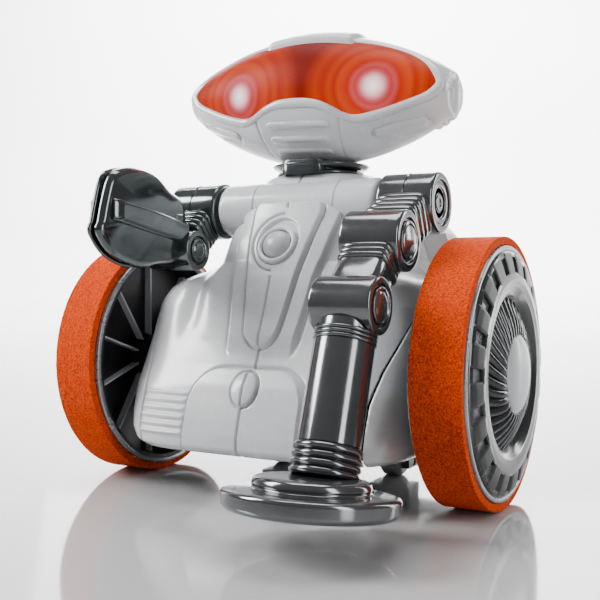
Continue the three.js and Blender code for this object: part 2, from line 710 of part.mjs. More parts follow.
function addRightArm() {
  const arm = new THREE.Group();
  arm.position.x = -ARM_X - 0.5;
  robot.add(arm);
  const shoulder = [SHOULDER_Y, SHOULDER_Z];
  const upperAngle = sidewaysAngle(shoulder, CLAW_ELBOW);
  const handAngle = 140 * DEG;
  const boreR = 3.6;

  let upper = drum(DRUM_R, ...shoulder).add(rod(0, 19, 3, ...shoulder, 24));
  upper = upper.add(bellows(shoulder, upperAngle, 6, 16, 3, 13, 10.5, 3));
  upper = upper.subtract(rod(-20, 20, CLAW_ELBOW_R - 0.2, ...CLAW_ELBOW));
  const palmSlot = [handAngle - 55 * DEG, handAngle + 75 * DEG];
  upper = upper.add(hingeDrum(CLAW_ELBOW, CLAW_ELBOW_R, boreR + GAP, ...palmSlot));
  add('right_upper_arm', upper, DARK, arm);

  let palm = rod(-8.3, 8.3, boreR, ...CLAW_ELBOW, 20)
    .add(bar(CLAW_ELBOW, handAngle, 0, 9, 2 * NECK_HALF, 4, 1));
  const knuckle = bar(CLAW_ROOT, 90 * DEG, -3.2, 3.2, 10.6, 5.4, 1.5);
  palm = palm.add(knuckle.subtract(rod(-20, 20, CLAW_ELBOW_R + GAP + 0.1, ...CLAW_ELBOW)));
  palm = palm.subtract(clawPost(-3, 10, 1.2, 3.1)).subtract(clawPost(-3, 10, 1.2, -3.1));
  add('claw_palm', palm, DARK, arm);

  [['inner', 1], ['outer', -1]].forEach(([side, sign]) => {
    const x0 = sign > 0 ? 2.5 : -4.5;
    let jaw = clawPlate(clawOutline(), x0, x0 + 2);
    jaw = jaw.subtract(clawPlate(barShape(-3.6, 2, -20, 20), -9, 9));
    const ribX = sign > 0 ? 4.3 : -6.3;
    jaw = jaw.add(clawPlate(barShape(-28, -3.7, -2.6, 2.6), ribX, ribX + 2));
    jaw = jaw.add(clawPlate(barShape(-4.6, 1, 3.6, 5.4), sign > 0 ? 1.6 : -5, sign > 0 ? 5 : -1.6));
    jaw = jaw.add(clawPost(-0.5, 5, 0.9, sign * 3.1));
    add(`claw_jaw_${side}`, jaw, DARK, arm);
  });
}

// A pin square to the claw's length, from height a to b at x.
function clawPost(a, b, r, x) {
  const geometry = new THREE.CylinderGeometry(r, r, b - a, 16);
  geometry.rotateX(Math.PI / 2);
  geometry.translate(x, -0.5, (a + b) / 2);
  geometry.rotateX(-CLAW_SLOPE);
  return place(geometry, CLAW_ROOT);
}

addBody();
addBackHousing();
addKeys();
addInside();
addChestButton();
addRearRollers();
addWheels();
addHead();
addNeck();
addLeftArm();
addRightArm();

const model = new THREE.Group();
robot.position.y = AXLE_Y;
model.add(robot);

export default model;
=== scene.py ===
# Looks of the self balancing robot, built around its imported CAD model.
# Lengths are millimetres with the wheel axle at y = 0, and to_world() turns them into the frame's metres.
import math

import bpy
import numpy as np
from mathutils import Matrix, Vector


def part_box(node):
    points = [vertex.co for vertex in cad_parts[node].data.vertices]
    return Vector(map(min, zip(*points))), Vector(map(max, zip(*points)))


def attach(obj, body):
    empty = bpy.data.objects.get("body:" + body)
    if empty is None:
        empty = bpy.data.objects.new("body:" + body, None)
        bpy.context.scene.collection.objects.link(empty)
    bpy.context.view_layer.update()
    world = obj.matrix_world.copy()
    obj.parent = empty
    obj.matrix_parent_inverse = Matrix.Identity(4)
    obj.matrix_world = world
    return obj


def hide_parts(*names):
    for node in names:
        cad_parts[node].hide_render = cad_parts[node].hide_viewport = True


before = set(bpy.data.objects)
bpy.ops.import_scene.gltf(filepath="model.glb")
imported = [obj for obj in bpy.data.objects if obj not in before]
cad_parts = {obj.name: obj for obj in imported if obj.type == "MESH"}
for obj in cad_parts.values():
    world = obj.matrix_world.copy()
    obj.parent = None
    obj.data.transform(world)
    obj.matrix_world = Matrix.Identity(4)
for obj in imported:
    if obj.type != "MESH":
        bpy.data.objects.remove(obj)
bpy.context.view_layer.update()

MM = 0.001
DEG = math.pi / 180
axle_low, axle_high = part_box("axle_left")
AXLE_Y = (axle_low.y + axle_high.y) / 2 / MM
QUARTER = math.pi / 2
SEED = 7

# ---- meshes


def to_world(points):
    points = np.asarray(points, float).copy()
    points[:, 1] += AXLE_Y
    return points * MM


class Shape:
    """A growing mesh: vertices in millimetres, faces and each face's material number."""

    def __init__(self):
        self.points = []
        self.faces = []
        self.marks = []
        self.count = 0

    def add(self, points, faces, mark=0):
        points = np.asarray(points, float)
        offset = self.count
        self.points.append(points)
        self.faces += [tuple(i + offset for i in face) for face in faces]
        self.marks += [mark] * len(faces) if isinstance(mark, int) else list(mark)
        self.count += len(points)
        return self

    def build(self, name, materials, body, replaces=(), slot=None, sharp=38, wall=0.0):
        mesh = bpy.data.meshes.new(name)
        mesh.from_pydata([tuple(p) for p in to_world(np.vstack(self.points))], [], self.faces)
        for m in materials if isinstance(materials, (list, tuple)) else [materials]:
            mesh.materials.append(m)
        mesh.polygons.foreach_set("material_index", self.marks)
        mesh.polygons.foreach_set("use_smooth", [True] * len(self.faces))
        mesh.update()
        mesh.set_sharp_from_angle(angle=sharp * DEG)
        obj = bpy.data.objects.new(name, mesh)
        bpy.context.scene.collection.objects.link(obj)
        if wall:
            thicken(obj, wall)
        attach(obj, body)
        for node in replaces:
            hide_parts(node)


def thicken(obj, wall):
    """Gives an open surface a wall behind it, away from its normals."""
    modifier = obj.modifiers.new("wall", "SOLIDIFY")
    modifier.thickness = wall * MM
    modifier.offset = -1
    bpy.context.view_layer.objects.active = obj
    obj.select_set(True)
    bpy.ops.object.modifier_apply(modifier="wall")
    obj.select_set(False)


def flipped(faces):
    """The same faces, seen from their other side."""
    return [tuple(reversed(face)) for face in faces]


def grid_faces(rows, cols, wrap=False):
    """Quads over rows x cols points; wrap joins the last column to the first."""
    last = cols if wrap else cols - 1
    faces = []
    for r in range(rows - 1):
        for c in range(last):
            a = r * cols + c
            b = r * cols + (c + 1) % cols
            faces.append((a, b, b + cols, a + cols))
    return faces


def rounded(points, radius, steps=5):
    """A polyline with its inner corners turned into arcs of about that radius."""
    out = [points[0]]
    for before, corner, after in zip(points, points[1:], points[2:]):
        corner = np.array(corner, float)
        to_before = np.array(before, float) - corner
        to_after = np.array(after, float) - corner
        reach = min(radius, np.linalg.norm(to_before) * 0.48, np.linalg.norm(to_after) * 0.48)
        start = corner + to_before / max(np.linalg.norm(to_before), 1e-9) * reach
        end = corner + to_after / max(np.linalg.norm(to_after), 1e-9) * reach
        for i in range(steps + 1):
            t = i / steps
            out.append(tuple((1 - t) ** 2 * start + 2 * t * (1 - t) * corner + t * t * end))
    out.append(points[-1])
    return out


def lathe(profile, steps=96):
    """Points and faces of a profile of (along, radius) pairs turned about +X, from low to high x."""
    profile = np.array(profile, float)
    angle = np.arange(steps) * 2 * math.pi / steps
    along = np.repeat(profile[:, 0], steps)
    radius = np.repeat(profile[:, 1], steps)
    turn = np.tile(angle, len(profile))
    points = np.column_stack([along, radius * np.cos(turn), radius * np.sin(turn)])
    return points, flipped(grid_faces(len(profile), steps, wrap=True))


def lathe_x(shape, profile, y, z, x=0.0, steps=96, mark=0, flip=False):
    points, faces = lathe(profile, steps)
    if flip:
        points = points * (-1, 1, 1)
        faces = flipped(faces)
    shape.add(points + (x, y, z), faces, mark)


def lathe_along(shape, profile, origin, direction, steps=96):
    """The same, about an axis through origin along direction."""
    points, faces = lathe(profile, steps)
    ahead = Vector(direction).normalized()
    turn = Vector((1, 0, 0)).rotation_difference(ahead).to_matrix()
    points = points @ np.array(turn).T
    shape.add(points + np.array(origin, float), faces)


def superellipse(width, height, power, steps):
    angle = np.arange(steps) * 2 * math.pi / steps
    c, s = np.cos(angle), np.sin(angle)
    radius = (np.abs(c) ** power + np.abs(s) ** power) ** (-1 / power)
    return np.column_stack([width / 2 * radius * c, height / 2 * radius * s])


def limb(shape, centre, angle, stations, x=0.0, power=4.0, steps=48):
    """A rounded bar in the side plane: stations are (distance, width along X, height across)."""
    y0, z0 = centre
    ahead = np.array([math.cos(angle), math.sin(angle)])
    across = np.array([-math.sin(angle), math.cos(angle)])
    rings = []
    for distance, width, height in stations:
        section = superellipse(width, height, power, steps)
        middle = np.array([y0, z0]) + distance * ahead
        side = middle + section[:, 1:2] * across
        rings.append(np.column_stack([section[:, 0] + x, side]))
    shape.add(*closed_tube(rings))


def closed_tube(rings):
    """Points and faces of a tube over equal closed rings, with a fan over each end."""
    steps = len(rings[0])
    points = np.vstack(rings + [rings[0].mean(0)[None], rings[-1].mean(0)[None]])
    faces = grid_faces(len(rings), steps, wrap=True)
    first, last = len(rings) * steps, len(rings) * steps + 1
    for i in range(steps):
        j = (i + 1) % steps
        faces.append((first, j, i))
        faces.append((last, first - steps + i, first - steps + j))
    return points, faces


def ribbed(start, end, ribs, width, height, depth, samples=9):
    """Stations of a bellows: round ribs with narrow grooves between them."""
    stations = []
    for i in range(ribs * samples + 1):
        t = i / samples
        crest = math.sqrt(max(0.0, math.sin(math.pi * (t % 1)))) if t < ribs else 0.0
        shrink = 2 * depth * (1 - crest)
        stations.append((start + (end - start) * t / ribs, width - shrink, height - shrink))
    return stations


# ---- materials


def new_material(name):
    material = bpy.data.materials.new(name)
    material.use_nodes = True
    nodes, links = material.node_tree.nodes, material.node_tree.links
    return material, nodes, links, nodes["Principled BSDF"]


def position_node(nodes, links, scale):
    """Object coordinates in units of one over scale metres."""
    coordinates = nodes.new("ShaderNodeTexCoord")
    mapping = nodes.new("ShaderNodeMapping")
    mapping.inputs["Scale"].default_value = (scale, scale, scale)
    links.new(coordinates.outputs["Object"], mapping.inputs["Vector"])
    return mapping.outputs["Vector"]


def noise_node(nodes, links, scale, detail=4.0, roughness=0.5):
    texture = nodes.new("ShaderNodeTexNoise")
    texture.inputs["Scale"].default_value = 1.0
    texture.inputs["Detail"].default_value = detail
    texture.inputs["Roughness"].default_value = roughness
    links.new(position_node(nodes, links, scale), texture.inputs["Vector"])
    return texture.outputs["Fac"]


def ramp_node(nodes, links, source, stops):
    ramp = nodes.new("ShaderNodeValToRGB")
    ramp.color_ramp.elements[0].position = stops[0][0]
    ramp.color_ramp.elements[0].color = (*stops[0][1], 1)
    ramp.color_ramp.elements[1].position = stops[-1][0]
    ramp.color_ramp.elements[1].color = (*stops[-1][1], 1)
    for position, colour in stops[1:-1]:
        ramp.color_ramp.elements.new(position).color = (*colour, 1)
    links.new(source, ramp.inputs["Fac"])
    return ramp.outputs["Color"]


def range_node(nodes, links, source, low, high, from_low=0.3, from_high=0.7):
    mapped = nodes.new("ShaderNodeMapRange")
    mapped.inputs["From Min"].default_value = from_low
    mapped.inputs["From Max"].default_value = from_high
    mapped.inputs["To Min"].default_value = low
    mapped.inputs["To Max"].default_value = high
    links.new(source, mapped.inputs["Value"])
    return mapped.outputs["Result"]


def bump_node(nodes, links, source, strength, distance, shader):
    bump = nodes.new("ShaderNodeBump")
    bump.inputs["Strength"].default_value = strength
    bump.inputs["Distance"].default_value = distance
    links.new(source, bump.inputs["Height"])
    links.new(bump.outputs["Normal"], shader.inputs["Normal"])


def moulded(name, dark, light, rough, metallic=0.0, coat=0.0, grain=900, grain_strength=0.06):
    """Moulded plastic, or a plated one: cloudy colour, uneven gloss and a fine grain."""
    material, nodes, links, shader = new_material(name)
    cloud = noise_node(nodes, links, 60, 3)
    links.new(ramp_node(nodes, links, cloud, [(0.3, dark), (0.7, light)]), shader.inputs["Base Color"])
    smear = noise_node(nodes, links, 140, 5, 0.6)
    links.new(range_node(nodes, links, smear, rough[0], rough[1]), shader.inputs["Roughness"])
    bump_node(nodes, links, noise_node(nodes, links, grain, 2), grain_strength, 0.0001, shader)
    shader.inputs["Metallic"].default_value = metallic
    shader.inputs["Coat Weight"].default_value = coat
    shader.inputs["Coat Roughness"].default_value = 0.12
    return material


def foam_material():
    """Open-cell foam: orange with darker pores that are dents in the shading."""
    material, nodes, links, shader = new_material("foam_orange")
    pores = noise_node(nodes, links, 3200, 2, 0.5)
    clumps = noise_node(nodes, links, 1700, 2, 0.5)
    mix = nodes.new("ShaderNodeMath")
    mix.operation = "MULTIPLY"
    links.new(pores, mix.inputs[0])
    links.new(clumps, mix.inputs[1])
    stops = [(0.12, (0.46, 0.022, 0.0)), (0.24, (0.74, 0.058, 0.0)), (0.36, (0.90, 0.095, 0.0))]
    links.new(ramp_node(nodes, links, mix.outputs[0], stops), shader.inputs["Base Color"])
    bump_node(nodes, links, mix.outputs[0], 0.9, 0.0011, shader)
    shader.inputs["Roughness"].default_value = 0.85
    shader.inputs["Specular IOR Level"].default_value = 0.12
    return material


def eye_distance(nodes, links, centre):
    """Distance in centimetres, in the plane of the face, to the nearer eye."""
    coordinates = nodes.new("ShaderNodeTexCoord")
    distances = []
    for side in (-1, 1):
        shift = nodes.new("ShaderNodeMapping")
        shift.vector_type = "POINT"
        eye = eye_point(side, centre) * CM_PER_M
        shift.inputs["Location"].default_value = (-eye.x, 0, -eye.z)
        shift.inputs["Scale"].default_value = (CM_PER_M, 0, CM_PER_M)
        links.new(coordinates.outputs["Object"], shift.inputs["Vector"])
        length = nodes.new("ShaderNodeVectorMath")
        length.operation = "LENGTH"
        links.new(shift.outputs["Vector"], length.inputs[0])
        distances.append(length.outputs["Value"])
    nearest = nodes.new("ShaderNodeMath")
    nearest.operation = "MINIMUM"
    links.new(distances[0], nearest.inputs[0])
    links.new(distances[1], nearest.inputs[1])
    return nearest.outputs[0]


def visor_material(centre):
    """A lit translucent visor: rings of light round each eye, darker in the middle and at its edges."""
    material, nodes, links, shader = new_material("visor_red")
    distance = eye_distance(nodes, links, centre)
    scaled = range_node(nodes, links, distance, 0.0, 1.0, 0.0, GLOW_REACH)
    glow = ramp_node(nodes, links, scaled, GLOW_STOPS)
    fade = range_node(nodes, links, noise_node(nodes, links, 70, 3), 0.82, 1.1)
    grey = nodes.new("ShaderNodeCombineColor")
    for channel in ("Red", "Green", "Blue"):
        links.new(fade, grey.inputs[channel])
    lit = nodes.new("ShaderNodeMix")
    lit.data_type = "RGBA"
    lit.blend_type = "MULTIPLY"
    lit.inputs["Factor"].default_value = 1.0
    links.new(glow, lit.inputs["A"])
    links.new(grey.outputs["Color"], lit.inputs["B"])
    links.new(lit.outputs["Result"], shader.inputs["Emission Color"])
    strength = range_node(nodes, links, distance, *GLOW_STRENGTH, 0.0, 0.42)
    links.new(strength, shader.inputs["Emission Strength"])
    shader.inputs["Base Color"].default_value = (0.10, 0.004, 0.001, 1)
    shader.inputs["Roughness"].default_value = 0.45
    shader.inputs["Specular IOR Level"].default_value = 0.07
    return material


CM_PER_M = 100
GLOW_REACH = 2.6  # centimetres from an eye over which the ramp runs
GLOW_STRENGTH = (2.4, 0.8)  # at an eye and away from it
GLOW_STOPS = [
    (0.00, (1.0, 0.84, 0.84)), (0.09, (1.0, 0.66, 0.68)), (0.15, (0.95, 0.22, 0.26)),
    (0.19, (0.84, 0.07, 0.08)), (0.23, (0.90, 0.12, 0.12)), (0.28, (0.74, 0.030, 0.006)),
    (0.34, (0.84, 0.070, 0.008)), (0.38, (0.86, 0.085, 0.008)), (0.43, (0.64, 0.026, 0.001)),
    (0.49, (0.76, 0.070, 0.0)), (0.56, (0.56, 0.022, 0.0)), (0.65, (0.64, 0.044, 0.0)),
    (0.80, (0.20, 0.003, 0.0)), (1.0, (0.11, 0.001, 0.0)),
]
HEAD_CENTRE = Vector((0, 13.5, 111.7))
HEAD_ROLL = 2.7 * DEG
EYE_X = 21.4
EYE_Z = 0.75
EYE_ROLL = 1.0 * DEG
EYE_SHIFT = 1.9


def eye_point(side, centre):
    """An eye's centre in world metres, with the head's small roll."""
    x = side * EYE_X + EYE_SHIFT
    rolled = Vector((x * math.cos(EYE_ROLL), 0, -x * math.sin(EYE_ROLL) + EYE_Z))
    return (centre + rolled) * MM


WHITE = moulded("shell_white", (0.60, 0.61, 0.63), (0.66, 0.67, 0.685), (0.20, 0.30), coat=0.3)
GREY = moulded("trim_grey", (0.44, 0.45, 0.47), (0.50, 0.51, 0.53), (0.28, 0.38), coat=0.2)
SILVER = moulded("rim_silver", (0.25, 0.27, 0.29), (0.31, 0.33, 0.35), (0.22, 0.32), metallic=0.7)
DARK = moulded("dark_plastic", (0.018, 0.021, 0.023), (0.03, 0.034, 0.036), (0.16, 0.26), coat=0.5)
BLACK = moulded("black_plastic", (0.004, 0.004, 0.005), (0.008, 0.008, 0.009), (0.35, 0.5))
CHROME = moulded("arm_chrome", (0.13, 0.136, 0.141), (0.165, 0.171, 0.176), (0.12, 0.19),
                 metallic=0.85, coat=0.25, grain=500, grain_strength=0.02)
CLAW = moulded("claw_dark", (0.085, 0.098, 0.098), (0.115, 0.13, 0.13), (0.09, 0.16),
               metallic=0.85, coat=0.5, grain=500, grain_strength=0.02)
TURBINE = moulded("turbine_grey", (0.036, 0.037, 0.039), (0.052, 0.054, 0.056), (0.14, 0.22),
                  metallic=0.6, coat=0.4)
PAD = moulded("turbine_pad", (0.008, 0.009, 0.009), (0.014, 0.015, 0.016), (0.35, 0.46))
NOTCH = moulded("turbine_notch", (0.15, 0.154, 0.16), (0.20, 0.205, 0.212), (0.2, 0.3), metallic=0.5)
# Painted shade: a near-black colour for the sunk gaps between the turbine blades, standing in for the shade
# that falls in them
BLADE_GAP_SHADE = moulded("turbine_gap_painted_shade", (0.003, 0.003, 0.004), (0.006, 0.006, 0.007), (0.3, 0.42))
STEEL = moulded("steel", (0.35, 0.36, 0.38), (0.45, 0.46, 0.48), (0.2, 0.34), metallic=1.0, grain=1600)
SLEEVE = moulded("cell_sleeve", (0.03, 0.10, 0.06), (0.05, 0.16, 0.09), (0.25, 0.35), coat=0.4)
BOARD = moulded("board_green", (0.01, 0.10, 0.04), (0.02, 0.16, 0.07), (0.3, 0.5),
                grain=2500, grain_strength=0.3)
LED = moulded("led_glow", (1.0, 0.62, 0.66), (1.0, 0.72, 0.75), (0.1, 0.2))
FOAM = foam_material()
VISOR = visor_material(HEAD_CENTRE + Vector((0, AXLE_Y, 0)))

# ---- camera, light and floor


CAMERA_AZIMUTH = 0.5054
CAMERA_DOWN = 0.0244
CAMERA_PLACE = (127.4, -229.9, 59.5)
CAMERA_LENS = 54.87
SENSOR_WIDTH = 36
WORLD_STRENGTH = 0.26
SKY_STOPS = [(0.0, (0.45, 0.45, 0.46)), (0.5, (0.8, 0.8, 0.81)), (1.0, (1, 1, 1))]
LIGHT_TARGET = (0, 0, 0.06)
LIGHTS = [
    # name, place, target, size, power
    ("key", (-0.55, -0.30, 0.46), LIGHT_TARGET, (0.26, 0.40), 9.5),
    ("strip", (0.64, -0.24, 0.24), LIGHT_TARGET, (0.17, 0.6), 2.6),
    ("rim", (0.40, 0.62, 0.26), LIGHT_TARGET, (0.10, 0.5), 1.6),
    ("top", (-0.05, 0.10, 0.75), LIGHT_TARGET, (0.5, 0.35), 4.0),
    ("back", (-0.35, 0.70, 0.45), LIGHT_TARGET, (0.7, 0.4), 3.0),
    ("wall", (-0.35, 1.0, 1.25), (-0.85, 1.75, 0.45), (1.6, 0.5), 330.0),
]
FLOOR_PROFILE = [(-2.0, 0.0), (1.0, 0.0), (1.4, 0.04), (1.7, 0.16), (1.9, 0.4), (2.0, 0.8), (2.0, 3.0)]
FLOOR_HALF = 4.0
FLOOR_STOPS = [(0.3, (0.44, 0.44, 0.443)), (0.7, (0.46, 0.46, 0.463))]


def add_camera():
    data = bpy.data.cameras.new("camera")
    data.sensor_width = SENSOR_WIDTH
    data.lens = CAMERA_LENS
    camera = bpy.data.objects.new("camera", data)
    x, y, z = CAMERA_PLACE
    camera.location = Vector((x, y + AXLE_Y, z)) * MM
    camera.rotation_euler = (QUARTER - CAMERA_DOWN, 0, CAMERA_AZIMUTH)
    bpy.context.scene.collection.objects.link(camera)
    bpy.context.scene.camera = camera


def add_area(name, location, target, size, power):
    data = bpy.data.lights.new(name, "AREA")
    data.shape = "RECTANGLE"
    data.size, data.size_y = size
    data.energy = power
    light = bpy.data.objects.new(name, data)
    light.location = location
    aim = Vector(target) - Vector(location)
    light.rotation_euler = aim.to_track_quat("-Z", "Y").to_euler()
    bpy.context.scene.collection.objects.link(light)


def add_lights():
    world = bpy.data.worlds.new("studio")
    world.use_nodes = True
    nodes, links = world.node_tree.nodes, world.node_tree.links
    background = nodes["Background"]
    coordinates = nodes.new("ShaderNodeTexCoord")
    split = nodes.new("ShaderNodeSeparateXYZ")
    links.new(coordinates.outputs["Generated"], split.inputs["Vector"])
    height = range_node(nodes, links, split.outputs["Z"], 0.0, 1.0, -0.2, 0.7)
    links.new(ramp_node(nodes, links, height, SKY_STOPS), background.inputs["Color"])
    background.inputs["Strength"].default_value = WORLD_STRENGTH
    bpy.context.scene.world = world
    for light in LIGHTS:
        add_area(*light)


def floor_material():
    """Pale and glossy on the floor, matt where it turns up into the wall."""
    material, nodes, links, shader = new_material("studio_floor")
    pale = noise_node(nodes, links, 3, 2)
    links.new(ramp_node(nodes, links, pale, FLOOR_STOPS), shader.inputs["Base Color"])
    shader.inputs["Specular IOR Level"].default_value = 0.8
    coordinates = nodes.new("ShaderNodeTexCoord")
    split = nodes.new("ShaderNodeSeparateXYZ")
    links.new(coordinates.outputs["Object"], split.inputs["Vector"])
    roughness = range_node(nodes, links, split.outputs["Z"], 0.08, 1.0, 0.0, 0.04)
    links.new(roughness, shader.inputs["Roughness"])
    return material


def add_floor():
    """A pale floor that sweeps up into a pale wall far behind."""
    points = [(x, y, z) for y, z in FLOOR_PROFILE for x in (-FLOOR_HALF, FLOOR_HALF)]
    mesh = bpy.data.meshes.new("studio_floor")
    mesh.from_pydata(points, [], grid_faces(len(FLOOR_PROFILE), 2))
    mesh.materials.append(floor_material())
    floor = bpy.data.objects.new("studio_floor", mesh)
    bpy.context.scene.collection.objects.link(floor)
    mesh.polygons.foreach_set("use_smooth", [True] * len(mesh.polygons))
    floor.rotation_euler[2] = CAMERA_AZIMUTH


# ---- body

POD_BACK = 26.0
POD_TABLE = np.array([
    # height, half width, front face beside the bib
    (13.0, 39.6, -30.6), (14.5, 42.4, -32.0), (18.0, 44.2, -31.9), (22.0, 44.8, -30.9), (26.0, 45.0, -29.5),
    (30.0, 45.1, -27.9), (36.0, 45.0, -24.3), (42.0, 44.8, -21.0), (48.0, 44.5, -18.4), (53.0, 44.0, -16.5),
    (56.3, 43.0, -15.3), (58.0, 41.4, -14.7), (59.3, 39.0, -14.2), (60.4, 35.6, -13.7), (61.8, 32.2, -13.2),
    (64.0, 30.0, -12.3), (70.0, 28.4, -9.3), (75.0, 26.6, -6.3), (81.0, 23.6, -3.2), (86.0, 20.2, -0.4),
    (88.4, 17.8, 1.0), (89.2, 16.6, 2.0), (89.5, 15.2, 3.4),
])
SEAM_TABLE = np.array([(13, 33.2), (28, 33.8), (36, 35.6), (44, 38.6), (52, 41.4), (58, 41.8)])
SIDE_TOP_Z = 62.0
SIDE_CORNER = 5.0
POD_TOP = 89.5
CHEST = (0.0, 68.5)
BUTTON_Y = -12.6
BUTTON_TILT = 29.4 * DEG
SHOULDER = (3.0, 79.5)


def smooth_table(z, column):
    """The table's column at heights z, with its corners rounded."""
    fine = np.linspace(POD_TABLE[0, 0], POD_TABLE[-1, 0], 400)
    values = np.interp(fine, POD_TABLE[:, 0], POD_TABLE[:, column])
    reach = 7
    kernel = np.hanning(2 * reach + 1)
    padded = np.pad(values, reach, mode="edge")
    soft = np.convolve(padded, kernel / kernel.sum(), mode="valid")
    ends = np.clip(np.minimum(fine - fine[0], fine[-1] - fine) / 2.0, 0, 1)
    return np.interp(z, fine, soft * ends + values * (1 - ends))


def pod_power(z):
    """The pod's section is squarish below and rounder above."""
    share = np.clip((z - 52.0) / 12.0, 0, 1)
    return 6.4 - 3.2 * share


def pod_point(z, bearing):
    """The pod's surface at height z, bearing 0 at its side and 90 degrees at its front."""
    width = smooth_table(z, 1)
    depth = POD_BACK - smooth_table(z, 2)
    power = pod_power(z)
    c, s = np.cos(bearing), np.sin(bearing)
    radius = ((np.abs(c) / width) ** power + (np.abs(s) / depth) ** power) ** (-1 / power)
    return np.stack([radius * c, POD_BACK - radius * s, z + 0 * c], -1)


def seam_bearing(z):
    """The bearing of the seam between a front shell and its side panel."""
    width = smooth_table(z, 1)
    depth = POD_BACK - smooth_table(z, 2)
    power = pod_power(z)
    x = np.minimum(np.interp(z, SEAM_TABLE[:, 0], SEAM_TABLE[:, 1]), width * 0.985)
    return np.arctan2(depth * (1 - (x / width) ** power) ** (1 / power), x)


def shell_edge(z):
    """Where a front shell ends: at the seam, and above the side panel's top at the middle of the side."""
    return seam_bearing(z) * (1 - step(z - SIDE_TOP_Z + SIDE_CORNER / 2, SIDE_CORNER))


def step(distance, width):
    """A smooth step from 0 to 1 across that width."""
    t = np.clip(distance / width + 0.5, 0, 1)
    return t * t * (3 - 2 * t)


def tapered_box(x, z, low, high, half_low, half_high, corner):
    """Signed distance inside a box whose half width changes with height."""
    half = half_low + (half_high - half_low) * np.clip((z - low) / (high - low), 0, 1)
    qx = np.abs(x) - half + corner
    qz = np.abs(z - (low + high) / 2) - (high - low) / 2 + corner
    outside = np.hypot(np.maximum(qx, 0), np.maximum(qz, 0))
    return corner - outside - np.minimum(np.maximum(qx, qz), 0)


def groove(distance, width, depth):
    """A round-bottomed groove along the line where distance is 0."""
    return -depth * np.exp(-((distance / width) ** 2))


STUD_Z = 29.7
STUD_R = 3.8
RIB_PITCH = 2.1


def stud_and_ribs(x, z):
    """The round stud on the bib, and the stack of ribs on either side of it."""
    stud = np.hypot(x, (z - STUD_Z) * 0.93)
    dome = 0.35 + 0.75 * np.sqrt(np.clip(1 - (stud / STUD_R) ** 2, 0, 1))
    out = np.where(stud < STUD_R, dome, 0) + groove(stud - 4.05, 0.28, 0.9)
    ribs = step(np.abs(x) - 18.6, 1.2) * step(33.4 - np.abs(x), 1.2)
    ribs = ribs * step(z - 17.2, 1.0) * step(28.4 - z, 1.0)
    return out + 0.75 * ribs * (0.5 + 0.5 * np.cos((z - 17.8) * 2 * math.pi / RIB_PITCH))


def chest_relief(x, z, side):
    """How far the front stands out of the plain pod, for side -1 or 1 of the middle seam."""
    frame_in = tapered_box(x, z, 37.5, 80.0, 9.6, 15.8, 3.0)
    fade = step(z - 41.0, 6.0)
    out = 1.5 * step(frame_in, 1.3) * fade
    out += groove(frame_in + 0.8, 0.4, 0.35) * fade
    out -= 1.3 * np.exp(-(((np.abs(x) - 25.5) / 3.4) ** 2)) * step(z - 45.0, 14.0)
    panel_in = tapered_box(x, z, 40.8, 80.6, 4.6, 11.0, 4.2)
    out += 1.05 * step(panel_in, 0.9)
    out += groove(panel_in + 0.5, 0.3, 0.8)
    bib_in = tapered_box(x, z, 0.0, 34.9, 17.6, 17.2, 9.0)
    out += 1.9 * step(bib_in, 1.2) * step(z - 14.2, 2.6)
    out += groove(bib_in + 0.9, 0.3, 0.7)
    out += stud_and_ribs(x, z)
    radius = np.hypot(x - CHEST[0], z - CHEST[1])
    out -= 0.9 * step(6.3 - radius, 0.4)
    near = radius < 9.5
    seam = np.where(near, np.abs(radius - 7.8) if side < 0 else 9.0, np.abs(x))
    return out + groove(seam, 0.26, 1.0)


def relieved(z, bearing, relief):
    """Points of the pod moved out along its normals."""
    small_turn, small_rise = 1e-4, 0.02
    around = pod_point(z, bearing + small_turn) - pod_point(z, bearing - small_turn)
    up = pod_point(z + small_rise, bearing) - pod_point(z - small_rise, bearing)
    normal = np.cross(up, around)
    normal /= np.linalg.norm(normal, axis=-1, keepdims=True) + 1e-12
    return pod_point(z, bearing) + normal * relief[..., None]


def pod_patch(shape, heights, first, last, side, cols, relief=True, ease=1.0):
    """One patch of the pod between two bearings (functions of height), on one side."""
    share = np.linspace(0, 1, cols) ** ease
    z = heights[:, None] + 0 * share[None]
    low = first(heights)[:, None]
    high = last(heights)[:, None]
    bearing = low + (high - low) * share[None]
    points = pod_point(z, bearing)
    if relief:
        points = relieved(z, bearing, chest_relief(points[..., 0], points[..., 2], side))
    points[..., 0] *= side
    faces = grid_faces(len(heights), cols)
    shape.add(points.reshape(-1, 3), faces if side > 0 else flipped(faces))


def shoulder_boss(shape, side):
    """The cylinder across the body that carries an arm, with a seam round its middle."""
    seam = [(0, 7.8), (12.7, 7.8), (12.85, 7.5), (13.15, 7.5)]
    end = rounded([(13.3, 7.8), (25.6, 7.8), (25.6, 0.01)], 2.4, 8)
    lathe_x(shape, seam + end, *SHOULDER, steps=128, flip=side < 0)


def top_cap(shape, side):
    """The flat top under the neck, on one side of the seam."""
    front = pod_point(np.full(60, POD_TOP), np.linspace(QUARTER, 0, 60))
    rear = back_point(np.full(40, POD_TOP), np.linspace(0, QUARTER, 40))
    edge = np.vstack([front, rear])
    edge[:, 0] *= side
    count = len(edge)
    faces = [(count, i, i + 1) if side > 0 else (count, i + 1, i) for i in range(count - 1)]
    shape.add(np.vstack([edge, [[0, POD_BACK, POD_TOP]]]), faces)


def back_point(z, bearing):
    """The rounded back of the body above the rear housing, bearing 0 at its side and 90 degrees behind."""
    width = smooth_table(z, 1)
    depth = 4.0 + 0.34 * width
    c, s = np.cos(bearing), np.sin(bearing)
    radius = ((np.abs(c) / width) ** 2.6 + (np.abs(s) / depth) ** 2.6) ** (-1 / 2.6)
    return np.stack([radius * c, POD_BACK + radius * s, z + 0 * c], -1)


